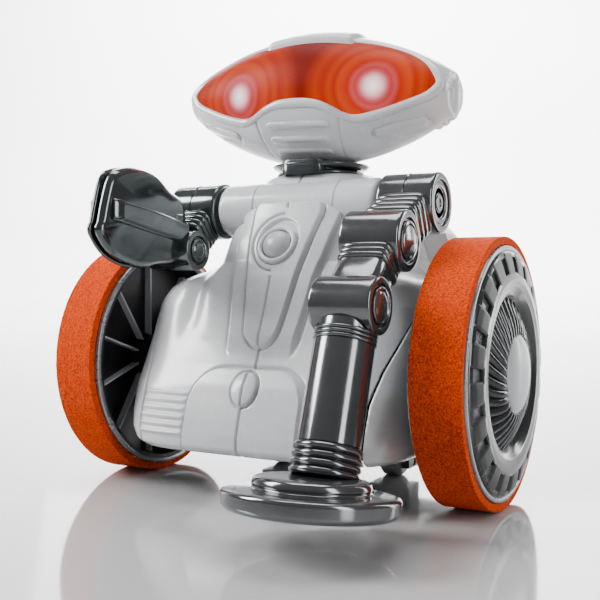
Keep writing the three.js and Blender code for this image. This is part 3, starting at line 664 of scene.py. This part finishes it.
def back_patch(shape, side):
    """The body's rounded back between the rear housing and the neck, on one side of the seam."""
    count = 60
    z = np.linspace(73.0, POD_TOP, count)[:, None] + np.zeros((1, count))
    bearing = np.linspace(0, QUARTER, count)[None] + 0 * z
    points = back_point(z, bearing)
    points[..., 0] *= side
    faces = grid_faces(count, count)
    shape.add(points.reshape(-1, 3), faces if side > 0 else flipped(faces))


def add_torso():
    heights = np.concatenate([np.linspace(13.0, 60.0, 230), np.linspace(60.15, POD_TOP, 190)])
    panel_rows = np.linspace(13.0, SIDE_TOP_Z - 0.2, 160)
    for side, word in ((1, "left"), (-1, "right")):
        shell = Shape()
        pod_patch(shell, heights, lambda z: 0 * z + QUARTER, shell_edge, side, 260, ease=1.2)
        top_cap(shell, side)
        back_patch(shell, side)
        shell.build(f"shell_front_{word}", WHITE, "torso", [f"torso_shell_{word}"],
                    "shell_white", 50, wall=1.2)
        boss = Shape()
        shoulder_boss(boss, side)
        boss.build(f"shoulder_boss_{word}", WHITE, "torso", slot="shell_white")
        panel = Shape()
        pod_patch(panel, panel_rows, lambda z: 0.988 * shell_edge(z), lambda z: 0 * z, side, 90,
                  relief=False)
        panel.build(f"panel_side_{word}", WHITE, "torso", [f"side_panel_{word}"],
                    "shell_white", 50, wall=1.2)


def add_chest_button():
    """The domed button on the chest in its ring, both square to the sloping chest."""
    out = (0, -math.cos(BUTTON_TILT), math.sin(BUTTON_TILT))
    origin = (CHEST[0], BUTTON_Y, CHEST[1])
    ring = Shape()
    profile = rounded([(-1.8, 4.5), (0.7, 4.5), (1.1, 5.0), (0.9, 5.8), (-1.8, 5.8), (-1.8, 4.5)], 0.35, 4)
    lathe_along(ring, profile, origin, out, 96)
    ring.build("chest_ring", WHITE, "torso", ["button_ring"], "shell_white")
    dome = Shape()
    arc = [(2.6 * math.cos(a) + 0.1, 4.15 * math.sin(a)) for a in np.linspace(QUARTER, 0.002, 18)]
    lathe_along(dome, [(-4.0, 0.01), (-4.0, 4.1), *arc], origin, out, 96)
    dome.build("chest_dome", GREY, "chest_button", ["chest_button"], "trim_grey")


HOUSING_TABLE = np.array([
    # height, half width, rear face
    (13.0, 37.6, 40.5), (14.5, 39.6, 42.3), (18.0, 41.4, 43.2), (30.0, 42.6, 44.0), (50.0, 41.0, 44.0),
    (60.0, 38.6, 44.0), (69.0, 35.8, 43.4), (72.5, 34.6, 42.4), (75.2, 32.4, 40.4), (76.0, 31.2, 39.2),
])


HOUSING_FRONT = 26.2


def add_housing():
    """The back of the body: a rounded box behind the pod."""
    shape = Shape()
    heights = np.concatenate([np.linspace(13, 18, 12), np.linspace(19, 68, 50), np.linspace(68.5, 76, 18)])
    rings = []
    for z in heights:
        width = np.interp(z, HOUSING_TABLE[:, 0], HOUSING_TABLE[:, 1])
        rear = np.interp(z, HOUSING_TABLE[:, 0], HOUSING_TABLE[:, 2])
        section = half_section(width, HOUSING_FRONT, rear, 6.0, 96)
        rings.append(np.column_stack([section, np.full(len(section), z)]))
    shape.add(*closed_tube(rings))
    shape.build("housing_rear", WHITE, "torso", ["back_housing"], "shell_white", 45)


def half_section(width, front, rear, power, steps):
    """A closed outline: a flat front and a squarish rounded rear, anticlockwise from above."""
    angle = np.linspace(0, math.pi, steps)
    c, s = np.cos(angle), np.sin(angle)
    radius = ((np.abs(c) / width) ** power + (np.abs(s) / (rear - front)) ** power) ** (-1 / power)
    return np.column_stack([radius * c, front + radius * s])


# ---- wheels

WHEEL_Z = 35.0


SPOKES = 10


def add_wheel(side, word):
    tyre = Shape()
    cross = [(47.8, 32.9), (47.8, 35.0), (60.4, 35.0), (60.4, 32.9), (47.8, 32.9)]
    profile = np.array(rounded(dense(cross, 0.35), 0.35, 2)[:-1] + [cross[0]])
    points, faces = lathe(profile, 420)
    points = roughened(points)
    tyre.add(points * (side, 1, 1) + (0, 0, WHEEL_Z), faces if side > 0 else flipped(faces))
    tyre.build(f"foam_tyre_{word}", FOAM, f"wheel_{word}", [f"tyre_{word}"], "foam_orange", 180)
    add_rim(side, word)
    add_turbine(side, word)
    cap = Shape()
    arc = [(63.2 + 2.4 * math.cos(a), 9.9 * math.sin(a)) for a in np.linspace(QUARTER, 0.003, 20)]
    profile = rounded([(62.6, 0.01), (62.6, 9.9), (63.4, 9.9)], 0.2, 2) + arc[1:]
    lathe_x(cap, profile, 0, WHEEL_Z, steps=128, flip=side < 0)
    cap.build(f"cap_{word}", GREY, f"wheel_{word}", [f"hub_cap_{word}"], "trim_grey")


def dense(points, pitch):
    """A polyline with extra points no further apart than about that pitch."""
    out = [points[0]]
    for a, b in zip(points, points[1:]):
        pieces = max(1, int(math.dist(a, b) / pitch))
        for i in range(1, pieces + 1):
            out.append((a[0] + (b[0] - a[0]) * i / pieces, a[1] + (b[1] - a[1]) * i / pieces))
    return out


def roughened(points):
    """Foam is never quite smooth: small seeded dents in the tread."""
    random = np.random.default_rng(SEED)
    radius = np.hypot(points[:, 1], points[:, 2])
    dents = random.normal(0, 0.035, len(points))
    dents = np.where(radius > 34.0, np.clip(dents, -0.12, 0.02), 0.0)
    scale = (radius + dents) / radius
    return points * np.column_stack([np.ones_like(scale), scale, scale])


def add_rim(side, word):
    """The wheel's dish: a barrel with silver lips, a black web and thin spokes on the side of the body."""
    rim = Shape()
    lip_in = rounded([(46.9, 30.4), (46.9, 32.7), (48.0, 32.7), (48.0, 30.9)], 0.5, 4)
    dish = [*lip_in, (55.6, 30.2), (55.9, 7.0), (50.0, 5.6), (50.0, 2.3)]
    lathe_x(rim, dish, 0, WHEEL_Z, steps=160, mark=1, flip=side < 0)
    edge = rounded([(46.6, 31.6), (46.6, 32.8), (47.7, 32.8)], 0.4, 4)
    lathe_x(rim, edge, 0, WHEEL_Z, steps=160, flip=side < 0)
    lip_out = rounded([(60.0, 32.8), (60.9, 32.7), (61.0, 31.6), (60.3, 31.2), (59.4, 30.6)], 0.4, 4)
    lathe_x(rim, lip_out, 0, WHEEL_Z, steps=160, flip=side < 0)
    for i in range(SPOKES):
        add_spoke(rim, side, 2 * math.pi * (i + 0.5) / SPOKES)
    rim.build(f"wheel_rim_{word}", [SILVER, BLACK, GREY], f"wheel_{word}", [f"rim_{word}"], "black_plastic")


def add_spoke(shape, side, turn):
    half = 0.28
    corners = [(x, r, w) for x in (53.6, 56.0) for r in (6.0, 30.6) for w in (-half, half)]
    c, s = math.cos(turn), math.sin(turn)
    points = [(side * x, r * c - w * s, WHEEL_Z + r * s + w * c) for x, r, w in corners]
    faces = [(0, 1, 3, 2), (4, 6, 7, 5), (0, 4, 5, 1), (2, 3, 7, 6), (1, 5, 7, 3), (0, 2, 6, 4)]
    shape.add(points, faces if side < 0 else flipped(faces), 2)


TURBINE_TABLE = np.array([
    # radius, height out from the middle of the robot
    (2.3, 62.9), (9.0, 62.9), (10.6, 62.8), (12.0, 62.5), (14.0, 61.7), (16.5, 60.5), (18.4, 59.5),
    (19.4, 59.2), (19.9, 60.0), (20.6, 61.2), (22.0, 61.9), (24.0, 62.1), (26.0, 61.9), (28.5, 61.4),
    (30.4, 60.8), (30.9, 60.2), (31.2, 59.2),
])
TURBINE_STEPS = 1440
BLADES = 36
BLADE_SHARE = 0.66  # of a blade and the gap after it
NOTCHES = 20
PAD_SHARE = 0.54  # of a pad and the notch after it
PAD_IN = 25.35
PAD_OUT = 30.25


def turbine_radii():
    """Rings close together where the blades curve, with a tight pair at each end of the pads."""
    return np.concatenate([[2.3, 9.0], np.linspace(9.9, 19.6, 50), np.linspace(19.8, 25.2, 24),
                           np.array([25.3, 25.42]), np.linspace(25.8, 29.9, 14), np.array([30.2, 30.32]),
                           np.linspace(30.5, 31.2, 6)])


def add_turbine(side, word):
    """The hub cover: curved blades round the cap, a smooth crest, and pads with notches between them."""
    radii = turbine_radii()
    angle = np.arange(TURBINE_STEPS) * 2 * math.pi / TURBINE_STEPS
    r, t = np.meshgrid(radii, angle, indexing="ij")
    height = np.interp(r, TURBINE_TABLE[:, 0], TURBINE_TABLE[:, 1])
    sweep = 0.035 * (r - 10.0)
    phase = ((t + side * sweep) * BLADES / (2 * math.pi)) % 1
    blade = np.where(phase < BLADE_SHARE, np.sin(phase / BLADE_SHARE * math.pi * 0.8 + 0.35), 0.0)
    in_blades = step(r - 10.2, 0.6) * step(19.2 - r, 0.8)
    height += in_blades * (2.2 * blade - 1.7) * np.clip((r - 8) / 6, 0.4, 1)
    sector = (t * NOTCHES / (2 * math.pi)) % 1
    in_pads = (r > PAD_IN) & (r < PAD_OUT)
    notch = (sector > PAD_SHARE) & in_pads
    height -= np.where(notch, 0.95, 0.0)
    points = np.stack([side * height, r * np.cos(t), WHEEL_Z + r * np.sin(t)], -1).reshape(-1, 3)
    faces = grid_faces(len(radii), TURBINE_STEPS, wrap=True)
    # The gaps between the blades take the painted-shade material
    gap = (phase >= 0.68) & (r > 10.6) & (r < 19.2)
    marks = np.where(gap, 3, np.where(notch, 2, np.where(in_pads, 1, 0)))[:-1].reshape(-1)
    shape = Shape().add(points, faces if side > 0 else flipped(faces), [int(m) for m in marks])
    shape.build(f"turbine_{word}", [TURBINE, PAD, NOTCH, BLADE_GAP_SHADE], f"wheel_{word}",
                [f"turbine_cover_{word}"], "turbine_grey", 40, wall=0.8)


# ---- head

HEAD_A = 46.2  # half length
HEAD_FRONT = 16.2
HEAD_REAR = 9.5
HEAD_UP = 17.2
HEAD_DOWN = 19.2
HEAD_RISE = 1.0  # the form's centre above the head's turning centre
HEAD_CUT = 41.0  # the shells end here and the ear caps begin


def head_taper(x):
    """How much of the head's section is left at x: 1 in the middle, 0 at the ends."""
    return np.clip(1 - np.abs(x / HEAD_A) ** 1.87, 0, 1)


def head_reach(x, upper):
    """Height of the head's outline above its own centre line at x, or depth below it."""
    return np.where(upper, HEAD_UP, HEAD_DOWN) * head_taper(x) ** 0.77


def head_y(x, z, depth=HEAD_FRONT):
    """Distance of the head's face ahead of its middle plane at (x, z), or behind it for another depth."""
    z = z - HEAD_RISE
    share = z / np.maximum(head_reach(x, z > 0), 1e-6)
    return depth * np.sqrt(head_taper(x)) * np.sqrt(np.clip(1 - share ** 2, 0, 1))


def silhouette(angle, centre_z):
    """Distance of the head's outline from (0, centre_z) at that angle, ending at the ear caps."""
    c, s = np.cos(angle), np.sin(angle)
    low, high = np.zeros_like(angle), np.full_like(angle, 80.0)
    for _ in range(40):
        middle = (low + high) / 2
        x, z = middle * c, centre_z + middle * s - HEAD_RISE
        inside = (np.abs(x) < HEAD_CUT) & (np.abs(z) < head_reach(x, z > 0))
        low = np.where(inside, middle, low)
        high = np.where(inside, high, middle)
    return low


VISOR_CENTRE_Z = 5.0
VISOR_POINTS = [
    # right half of the visor's outline from the top middle round its end to the nose arch
    (0.0, 15.6), (10.0, 15.2), (20.0, 13.9), (29.0, 11.2), (35.0, 8.0), (38.6, 4.6), (39.8, 2.5),
    (39.0, 0.7), (36.5, -1.3), (31.0, -3.5), (26.0, -5.2), (20.5, -6.6), (17.2, -6.9), (14.2, -6.2),
    (11.0, -4.6), (7.5, -3.1), (4.0, -2.3), (0.0, -2.1),
]
LIP = ((0.15, 0.25), (0.45, 0.45), (0.85, 0.48), (1.2, 0.4), (1.5, 0.1), (1.75, -0.05), (2.1, 0.0))


def spline(points, per_span=14):
    """A Catmull-Rom curve through a closed list of points."""
    points = np.array(points, float)
    out = []
    for i in range(len(points)):
        a, b, c, d = (points[(i + k) % len(points)] for k in (-1, 0, 1, 2))
        for t in np.arange(per_span) / per_span:
            out.append(0.5 * (2 * b + (c - a) * t + (2 * a - 5 * b + 4 * c - d) * t ** 2
                              + (3 * b - a - 3 * c + d) * t ** 3))
    return np.array(out)


def visor_curve():
    """The visor's outline by angle about its centre: distances for evenly spread angles."""
    left = [(-x, z) for x, z in reversed(VISOR_POINTS[1:-1])]
    curve = spline(VISOR_POINTS + left)
    angle = np.arctan2(curve[:, 1] - VISOR_CENTRE_Z, curve[:, 0])
    reach = np.hypot(curve[:, 0], curve[:, 1] - VISOR_CENTRE_Z)
    order = np.argsort(angle)
    return angle[order], reach[order]


HEAD_STEPS = 720
HEAD_ANGLES = np.linspace(-math.pi, math.pi, HEAD_STEPS, endpoint=False)


def head_point(x, z, y):
    """A head point in the robot's frame, with the head's small roll."""
    c, s = math.cos(HEAD_ROLL), math.sin(HEAD_ROLL)
    return np.stack([x * c + z * s + HEAD_CENTRE.x, y + HEAD_CENTRE.y, -x * s + z * c + HEAD_CENTRE.z], -1)


def ring_points(reach, out):
    """A ring round the visor's centre at those distances, standing that far out of the face."""
    x = reach * np.cos(HEAD_ANGLES)
    z = VISOR_CENTRE_Z + reach * np.sin(HEAD_ANGLES)
    y = -head_y(x, z) - out
    return head_point(x, z, y)


CHEEK = (29.0, -8.7)
CHEEK_SLANT = 0.26


def cheek_relief(x, z):
    """A slanted slot on each cheek with a rib in its middle, and the seams beside the chin."""
    c, s = math.cos(CHEEK_SLANT), math.sin(CHEEK_SLANT)
    out, up = np.abs(x) - CHEEK[0], z - CHEEK[1]
    along = out * c + up * s
    across = -out * s + up * c
    slot = 1.6 - np.hypot(np.maximum(np.abs(along) - 7.0, 0), across)
    rib = 0.55 - np.hypot(np.maximum(np.abs(along) - 6.2, 0), across)
    seam = np.where(z < -5.5, np.abs(x) - 13.7 - 0.22 * (z + 6), 9.0)
    return -0.9 * step(slot, 0.5) + 1.0 * step(rib, 0.5) + groove(seam, 0.3, 0.55)


def add_face():
    """The white face: a lip round the visor that runs out to the head's outline."""
    angle, reach = visor_curve()
    inner = np.interp(HEAD_ANGLES, angle, reach, period=2 * math.pi)
    outer = silhouette(HEAD_ANGLES, VISOR_CENTRE_Z)
    rings = [ring_points(inner - 0.15, -2.2), ring_points(inner, -0.7)]
    for offset, proud in LIP:
        rings.append(ring_points(np.minimum(inner + offset, outer - 0.02), proud))
    start = np.minimum(inner + 2.3, outer - 0.01)
    for share in np.sin(np.linspace(0.0, QUARTER, 60)):
        reach_now = start + (outer - 0.001 - start) * share
        x = reach_now * np.cos(HEAD_ANGLES)
        z = VISOR_CENTRE_Z + reach_now * np.sin(HEAD_ANGLES)
        rings.append(head_point(x, z, -head_y(x, z) - cheek_relief(x, z) * min(1.0, (1 - share) * 6)))
    rings.append(head_point(x, z, -0.1 + 0 * x))
    points = np.vstack(rings)
    faces = grid_faces(len(rings), HEAD_STEPS, wrap=True)
    shape = Shape().add(points, faces)
    shape.build("face_front", WHITE, "head", ["face_shell"], "shell_white", 60, wall=1.0)


def add_visor():
    angle, reach = visor_curve()
    inner = np.interp(HEAD_ANGLES, angle, reach, period=2 * math.pi)
    rings = [ring_points((inner + 0.1) * share, -0.55) for share in np.linspace(0.002, 1, 50)]
    faces = grid_faces(len(rings), HEAD_STEPS, wrap=True)
    shape = Shape().add(np.vstack(rings), faces)
    shape.build("visor_glass", VISOR, "head", ["visor"], "visor_red", 60, wall=0.9)


def add_head_back():
    outer = silhouette(HEAD_ANGLES, HEAD_RISE)
    edge_x, edge_z = outer * np.cos(HEAD_ANGLES), HEAD_RISE + outer * np.sin(HEAD_ANGLES)
    rings = [head_point(edge_x, edge_z, 0.2 + 0 * edge_x)]
    for share in np.sin(np.linspace(0, QUARTER, 60)):
        reach = outer * (1 - share) + 1e-3
        x, z = reach * np.cos(HEAD_ANGLES), HEAD_RISE + reach * np.sin(HEAD_ANGLES)
        rings.append(head_point(x, z, 0.2 + head_y(x, z, HEAD_REAR)))
    shape = Shape().add(np.vstack(rings), grid_faces(len(rings), HEAD_STEPS, wrap=True))
    shape.build("head_back", WHITE, "head", ["head_shell_rear"], "shell_white", 60, wall=1.0)


def add_chin():
    """The chin panel under the nose arch with its three ribs."""
    rows, cols = 70, 90
    v = np.linspace(0, 1, rows)[:, None]
    u = np.linspace(-1, 1, cols)[None]
    top = -4.3 - 4.2 * np.abs(u) ** 3.2
    z = top * (1 - v) + (HEAD_RISE - HEAD_DOWN + 0.1) * v
    half = 13.4 - 3.0 * v
    x = u * half
    z = np.maximum(z, HEAD_RISE - head_reach(x, False) + 0.02)
    edge = np.minimum(np.minimum((1 - np.abs(u)) * 13.4, v * 13.0), (1 - v) * 13.0 + 1.0)
    relief = 0.75 * step(edge - 0.35, 0.6) - 0.45
    for height, length in ((-8.6, 9.0), (-12.3, 8.8), (-15.3, 8.4)):
        rib = 0.5 - np.hypot(np.maximum(np.abs(x) - length, 0), z - height)
        relief = relief + 0.95 * step(rib, 0.5)
    y = -head_y(x, z) - relief
    points = head_point(x, z, y).reshape(-1, 3)
    shape = Shape().add(points, grid_faces(rows, cols))
    shape.build("chin_plate", WHITE, "head", ["chin_panel"], "shell_white", 60, wall=0.6)


CROWN_HALF = 14.0
CROWN_TURN = 0.62


def add_crown():
    """The raised strip over the top of the head."""
    rows, cols = 60, 60
    turn = np.linspace(-CROWN_TURN, CROWN_TURN, rows)[:, None]
    x = np.linspace(-CROWN_HALF, CROWN_HALF, cols)[None] + 0 * turn
    edge = np.minimum((1 - np.abs(x) / CROWN_HALF) * CROWN_HALF, (1 - np.abs(turn) / CROWN_TURN) * 9.0)
    lift = 1.9 * step(edge - 0.6, 1.4) - 0.2
    depth = np.where(turn > 0, HEAD_REAR, HEAD_FRONT) * np.sqrt(head_taper(x))
    y = (depth + lift) * np.sin(turn)
    z = HEAD_RISE + (head_reach(x, True) + lift) * np.cos(turn)
    points = head_point(x, z, y).reshape(-1, 3)
    shape = Shape().add(points, flipped(grid_faces(rows, cols)))
    shape.build("crown_strip", WHITE, "head", ["crown_ridge"], "shell_white", 60, wall=0.5)


EAR_STEPS = [
    (34.5, 8.2), (35.6, 9.1), (37.2, 9.1), (37.4, 8.4), (38.9, 8.2), (39.5, 7.7), (39.7, 7.0),
    (41.0, 6.7), (41.6, 6.1), (41.8, 5.2), (42.4, 4.6), (42.9, 3.0), (43.1, 0.01),
]


def add_ears():
    c, s = math.cos(HEAD_ROLL), math.sin(HEAD_ROLL)
    roll = np.array([[c, 0, s], [0, 1, 0], [-s, 0, c]])
    for side, word in ((1, "left"), (-1, "right")):
        points, faces = lathe(rounded(EAR_STEPS, 0.5, 4), 96)
        points = points * (1, 0.76, 1) + (0, 1.6, 0.3)
        if side < 0:
            points = points * (-1, 1, 1)
            faces = flipped(faces)
        shape = Shape().add(points @ roll.T + np.array(HEAD_CENTRE), faces)
        shape.build(f"ear_{word}", WHITE, "head", [f"ear_cap_{word}"], "shell_white", 50)


NECK_Y = 13.5


def add_neck():
    """A collar and a block on the body, and the dish under the head that turns on them."""
    up = (0, 0, 1)
    base = Shape()
    collar = rounded([(0, 0.01), (0, 13.2), (0.7, 13.2), (1.2, 12.0), (1.2, 0.01)], 0.5, 4)
    lathe_along(base, collar, (0, NECK_Y, POD_TOP), up, 128)
    base.build("neck_collar", DARK, "torso", ["neck_base"], "dark_plastic")
    block = Shape()
    stations = [(0, 13.4, 27.4), (3.9, 13.4, 27.4), (4.4, 12.8, 26.8)]
    limb(block, (NECK_Y, 89.2), QUARTER, stations, power=9)
    block.build("neck_block", DARK, "torso", slot="dark_plastic")
    plate = Shape()
    profile = [(0, 0.01), (0, 12.4), (0.5, 13.9), (1.3, 14.5), (1.7, 14.2), (1.7, 0.01)]
    lathe_along(plate, rounded(profile, 0.5, 4), (0, NECK_Y, 91.0), up, 128)
    lathe_along(plate, [(0, 0.01), (0, 5.2), (3.6, 5.2), (3.6, 0.01)], (0, NECK_Y, 92.0), up, 64)
    plate.build("neck_dish", DARK, "head", ["neck_plate"], "dark_plastic")


# ---- arms

ARM_X = 34.0
ELBOW = (-20.0, 68.6)
WRIST = (-36.7, 53.0)
FOREARM_SLOPE = 19.5 * DEG
FOOT_SLOPE = 8 * DEG
FOOT_SOLE = (-56.6, 8.9)
LOWER = -math.pi / 2 - FOREARM_SLOPE
CLAW_X = -34.5
CLAW_ELBOW = (-12.1, 67.4)
CLAW_ROOT = (-17.5, 74.4)
CLAW_SLOPE = 3 * DEG


def heading(a, b):
    """The direction from a to b in the side plane."""
    return math.atan2(b[1] - a[1], b[0] - a[0])


def drum(shape, centre, r, x, half=8.0, cap=5.3, seam=False):
    """A joint drum along X with soft rims and a recess in each end for the core's cap."""
    middle = [(-0.4, r), (-0.25, r - 0.3), (0.25, r - 0.3), (0.4, r)] if seam else [(0.0, r)]
    lip = cap + 0.35
    side = [(-half + 0.9, 0.01), (-half + 0.9, lip), (-half, lip), (-half, r), (-half + 3.5, r)]
    left = rounded(side, 1.9, 8)
    right = [(-px, pr) for px, pr in reversed(left)]
    lathe_x(shape, left + middle + right, *centre, x, steps=112)


def core(shape, centre, r, x, half=8.0):
    """The pivot's two end caps, set in the drum's ends with a ring round each."""
    face = rounded([(half - 2.0, 0.01), (half - 2.0, r), (half + 0.15, r), (half + 0.3, r - 0.7)], 0.3, 3)
    face += [(half - 0.05, r - 1.0), (half + 0.25, r - 1.3), (half + 0.5, r * 0.45), (half + 0.55, 0.01)]
    lathe_x(shape, face, *centre, x, steps=80)
    lathe_x(shape, face, *centre, x, steps=80, flip=True)


SHOULDER_RINGS = [
    (6.9, 0.01), (7.1, 1.2), (7.4, 1.3), (7.4, 2.3), (7.1, 2.5), (7.1, 4.2), (7.5, 4.4), (7.6, 5.6),
    (6.6, 5.9),
]
FOOT_TIERS = [
    # height over the sole, radius
    (7.4, 0.01), (7.4, 11.4), (6.9, 12.9), (5.6, 13.3), (4.9, 13.0), (4.5, 13.5), (4.3, 18.6), (4.0, 19.5),
    (3.4, 19.8), (0.7, 19.6), (-0.1, 18.8), (-0.5, 17.6), (-0.5, 9.4), (1.0, 9.2), (1.0, 0.01),
]


def add_left_arm():
    add_left_upper()
    add_left_link()
    add_left_forearm()
    foot = Shape()
    up = (0, math.sin(FOOT_SLOPE), math.cos(FOOT_SLOPE))
    lathe_along(foot, list(reversed(rounded(FOOT_TIERS, 0.8, 6))), (ARM_X, *FOOT_SOLE), up, 160)
    foot.build("foot_disc_left", CHROME, "left_forearm", ["magnet_foot"], "arm_chrome", 35)


def add_left_upper():
    upper = Shape()
    drum(upper, SHOULDER, 8.4, ARM_X, cap=5.9, seam=True)
    rings = list(reversed(rounded(SHOULDER_RINGS, 0.2, 2)))
    lathe_x(upper, rings, *SHOULDER, ARM_X, steps=96)
    limb(upper, SHOULDER, heading(SHOULDER, ELBOW), ribbed(6.5, 18.4, 4, 14.6, 12.4, 0.75), ARM_X, 5)
    drum(upper, ELBOW, 7.8, ARM_X, cap=5.3)
    upper.build("arm_upper_left", CHROME, "left_upper_arm", ["left_upper_arm"], "arm_chrome", 35)


def add_left_link():
    angle = heading(ELBOW, WRIST)
    link = Shape()
    limb(link, ELBOW, angle, ribbed(6.2, 11.2, 3, 13.8, 11.4, 0.6), ARM_X, 5)
    limb(link, ELBOW, angle, [(10.9, 12.6, 10.2), (11.1, 12.8, 10.4), (18.5, 12.6, 10.0)], ARM_X, 5)
    drum(link, WRIST, 7.0, ARM_X, cap=4.8)
    core(link, ELBOW, 5.0, ARM_X)
    link.build("arm_link_left", CHROME, "left_elbow_link", ["left_elbow_link"], "arm_chrome", 35)


def add_left_forearm():
    down = (0, math.cos(LOWER), math.sin(LOWER))
    tube = Shape()
    profile = [(4.5, 0.01), (4.5, 6.6), (6.6, 6.7)]
    profile += ring_bumps(6.4, 9.4, 3, 7.5, 0.5)
    profile += [(9.6, 7.2), (33.0, 7.35), (33.1, 7.1)]
    profile += ring_bumps(33.2, 40.4, 4, 8.1, 0.9)
    profile += [(40.4, 6.0), (40.4, 0.01)]
    lathe_along(tube, profile, (ARM_X, *WRIST), down, 112)
    core(tube, WRIST, 4.5, ARM_X)
    tube.build("arm_tube_left", CHROME, "left_forearm", ["left_forearm"], "arm_chrome", 35)


def ring_bumps(start, end, ribs, radius, depth, samples=10):
    """Profile points of round ribs with narrow grooves, for a turned piece."""
    out = []
    for i in range(ribs * samples + 1):
        t = i / samples
        crest = math.sqrt(max(0.0, math.sin(math.pi * (t % 1)))) if t < ribs else 0.0
        out.append((start + (end - start) * t / ribs, radius - depth * (1 - crest)))
    return out


CLAW_POINTS = [
    # the jaw's outline from above its root round its tip and back below, ahead and up from the root
    (2.1, 6.4), (-3.7, 8.9), (-10.2, 12.3), (-18.1, 13.0), (-24.5, 11.6), (-27.6, 9.7), (-29.6, 4.0),
    (-30.9, -1.9), (-31.5, -5.0), (-25.8, -9.6), (-15.7, -11.9), (-7.6, -10.6), (1.9, -8.5), (4.0, 0.4),
]
CLAW_CENTRE = (-14.0, 0.5)
JAW_OUT = 3.7  # from the claw's middle plane to a jaw's rim
JAW_LENGTH = 30.0


def claw_place(points):
    """From the claw's own side plane (x, ahead, up) to the robot's frame."""
    c, s = math.cos(CLAW_SLOPE), math.sin(CLAW_SLOPE)
    y = points[:, 1] * c + points[:, 2] * s
    z = -points[:, 1] * s + points[:, 2] * c
    return np.column_stack([points[:, 0] + CLAW_X, y + CLAW_ROOT[0], z + CLAW_ROOT[1]])


def tip_lean(ahead, side):
    """How far a jaw leans towards the other one at a distance ahead of its root."""
    return (0.3 if side > 0 else 3.3) * np.clip(-ahead / JAW_LENGTH, 0, 1) ** 1.3


def add_claw_jaw(word, side):
    """One cupped plate with a rolled edge and a raised rib along its back."""
    curve = spline(CLAW_POINTS, 10)
    rings = []
    for share in [*np.linspace(0.01, 0.86, 26), 0.89, 0.92, 0.94, 0.96, 0.985, 1.0]:
        flat = np.array(CLAW_CENTRE) + (curve - CLAW_CENTRE) * share
        bulge = 0.9 * (1 - min(share / 0.92, 1) ** 2.2)
        rolled = max(0.0, (share - 0.93) / 0.07)
        out = JAW_OUT + bulge - 1.3 * rolled ** 2 - tip_lean(flat[:, 0], side)
        rings.append(np.column_stack([side * out, flat]))
    faces = grid_faces(len(rings), len(curve), wrap=True)
    plate = Shape().add(claw_place(np.vstack(rings)), faces if side > 0 else flipped(faces))
    plate.build(f"jaw_{word}", CLAW, f"claw_jaw_{word}", [f"claw_jaw_{word}"], "claw_dark", 45, wall=1.1)
    points, faces = closed_tube([rib_section(t, side) for t in np.linspace(0, 1, 24)])
    rib = Shape().add(claw_place(points), faces if side > 0 else flipped(faces))
    rib.build(f"jaw_rib_{word}", CLAW, f"claw_jaw_{word}", slot="claw_dark", sharp=40)


def rib_section(t, side):
    """The section of a jaw's rib, t of the way from its tip to its root."""
    ahead = -28.6 + 31.0 * t
    half = 2.7 * (1.0 + 0.12 * math.sin(math.pi * t))
    lean = tip_lean(np.array(ahead), side)
    crest = side * (7.0 - 0.3 * t - 1.2 * max(0.0, 0.05 - t) / 0.05 - lean)
    foot = side * (3.2 - lean)
    shoulder = crest - side * 0.4
    up = 1.4 - 3.4 * t
    section = [(foot, -half - 0.7), (shoulder, -half), (crest, -half + 0.7),
               (crest, half - 0.7), (shoulder, half), (foot, half + 0.7)]
    return np.array([(x, ahead, up + across) for x, across in rounded(section, 0.6, 4)])


def add_right_arm():
    upper_angle = heading(SHOULDER, CLAW_ELBOW)
    upper = Shape()
    drum(upper, SHOULDER, 8.4, CLAW_X, half=8.3, cap=5.9, seam=True)
    lathe_x(upper, rounded([(-7.6, 5.9), (-7.8, 4.2), (-7.4, 4.0), (-7.5, 0.01)], 0.3, 3),
            *SHOULDER, CLAW_X)
    limb(upper, SHOULDER, upper_angle, ribbed(6.6, 14.6, 4, 14.0, 11.6, 0.7), CLAW_X, 5)
    drum(upper, CLAW_ELBOW, 5.8, CLAW_X, cap=3.7)
    upper.build("arm_upper_right", CLAW, "right_upper_arm", ["right_upper_arm"], "claw_dark", 35)
    palm = Shape()
    core(palm, CLAW_ELBOW, 3.5, CLAW_X)
    limb(palm, CLAW_ELBOW, 128 * DEG, [(3.0, 8, 6), (8.6, 8, 6)], CLAW_X, 5)
    limb(palm, (CLAW_ROOT[0], CLAW_ROOT[1] - 3.6), math.pi / 2,
         [(0, 9.5, 4.6), (0.5, 10.6, 5.6), (6.6, 10.6, 5.6), (7.1, 9.5, 4.6)], CLAW_X, 5)
    palm.build("palm_block", CLAW, "claw_palm", ["claw_palm"], "claw_dark", 35)
    for word, side in (("inner", 1), ("outer", -1)):
        add_claw_jaw(word, side)


# ---- the CAD pieces that stay

KEPT = {
    "battery_door": GREY, "battery_door_screw": STEEL, "chassis_plate": DARK, "battery_tray": BLACK,
    "battery_cell_1": SLEEVE, "battery_cell_2": SLEEVE, "battery_cell_3": SLEEVE, "battery_cell_4": SLEEVE,
    "gearbox_left": BLACK, "gearbox_right": BLACK, "motor_left": STEEL, "motor_right": STEEL,
    "circuit_board": BOARD, "roller_bracket_left": DARK, "roller_bracket_right": DARK,
    "rear_roller_left": GREY, "rear_roller_right": GREY, "axle_left": STEEL, "axle_right": STEEL,
    "eye_led_left": LED, "eye_led_right": LED, "eye_board": BLACK, "foot_magnet": STEEL,
    "program_key_1": DARK, "program_key_2": DARK, "program_key_3": DARK, "power_switch": DARK,
}


def finish_kept_nodes():
    for node, material in KEPT.items():
        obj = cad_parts[node]
        obj.data.materials.clear()
        obj.data.materials.append(material)


add_camera()
add_lights()
add_floor()
add_torso()
add_chest_button()
add_housing()
for wheel_side, wheel_word in ((1, "left"), (-1, "right")):
    add_wheel(wheel_side, wheel_word)
add_face()
add_visor()
add_head_back()
add_chin()
add_crown()
add_ears()
add_neck()
add_left_arm()
add_right_arm()
finish_kept_nodes()
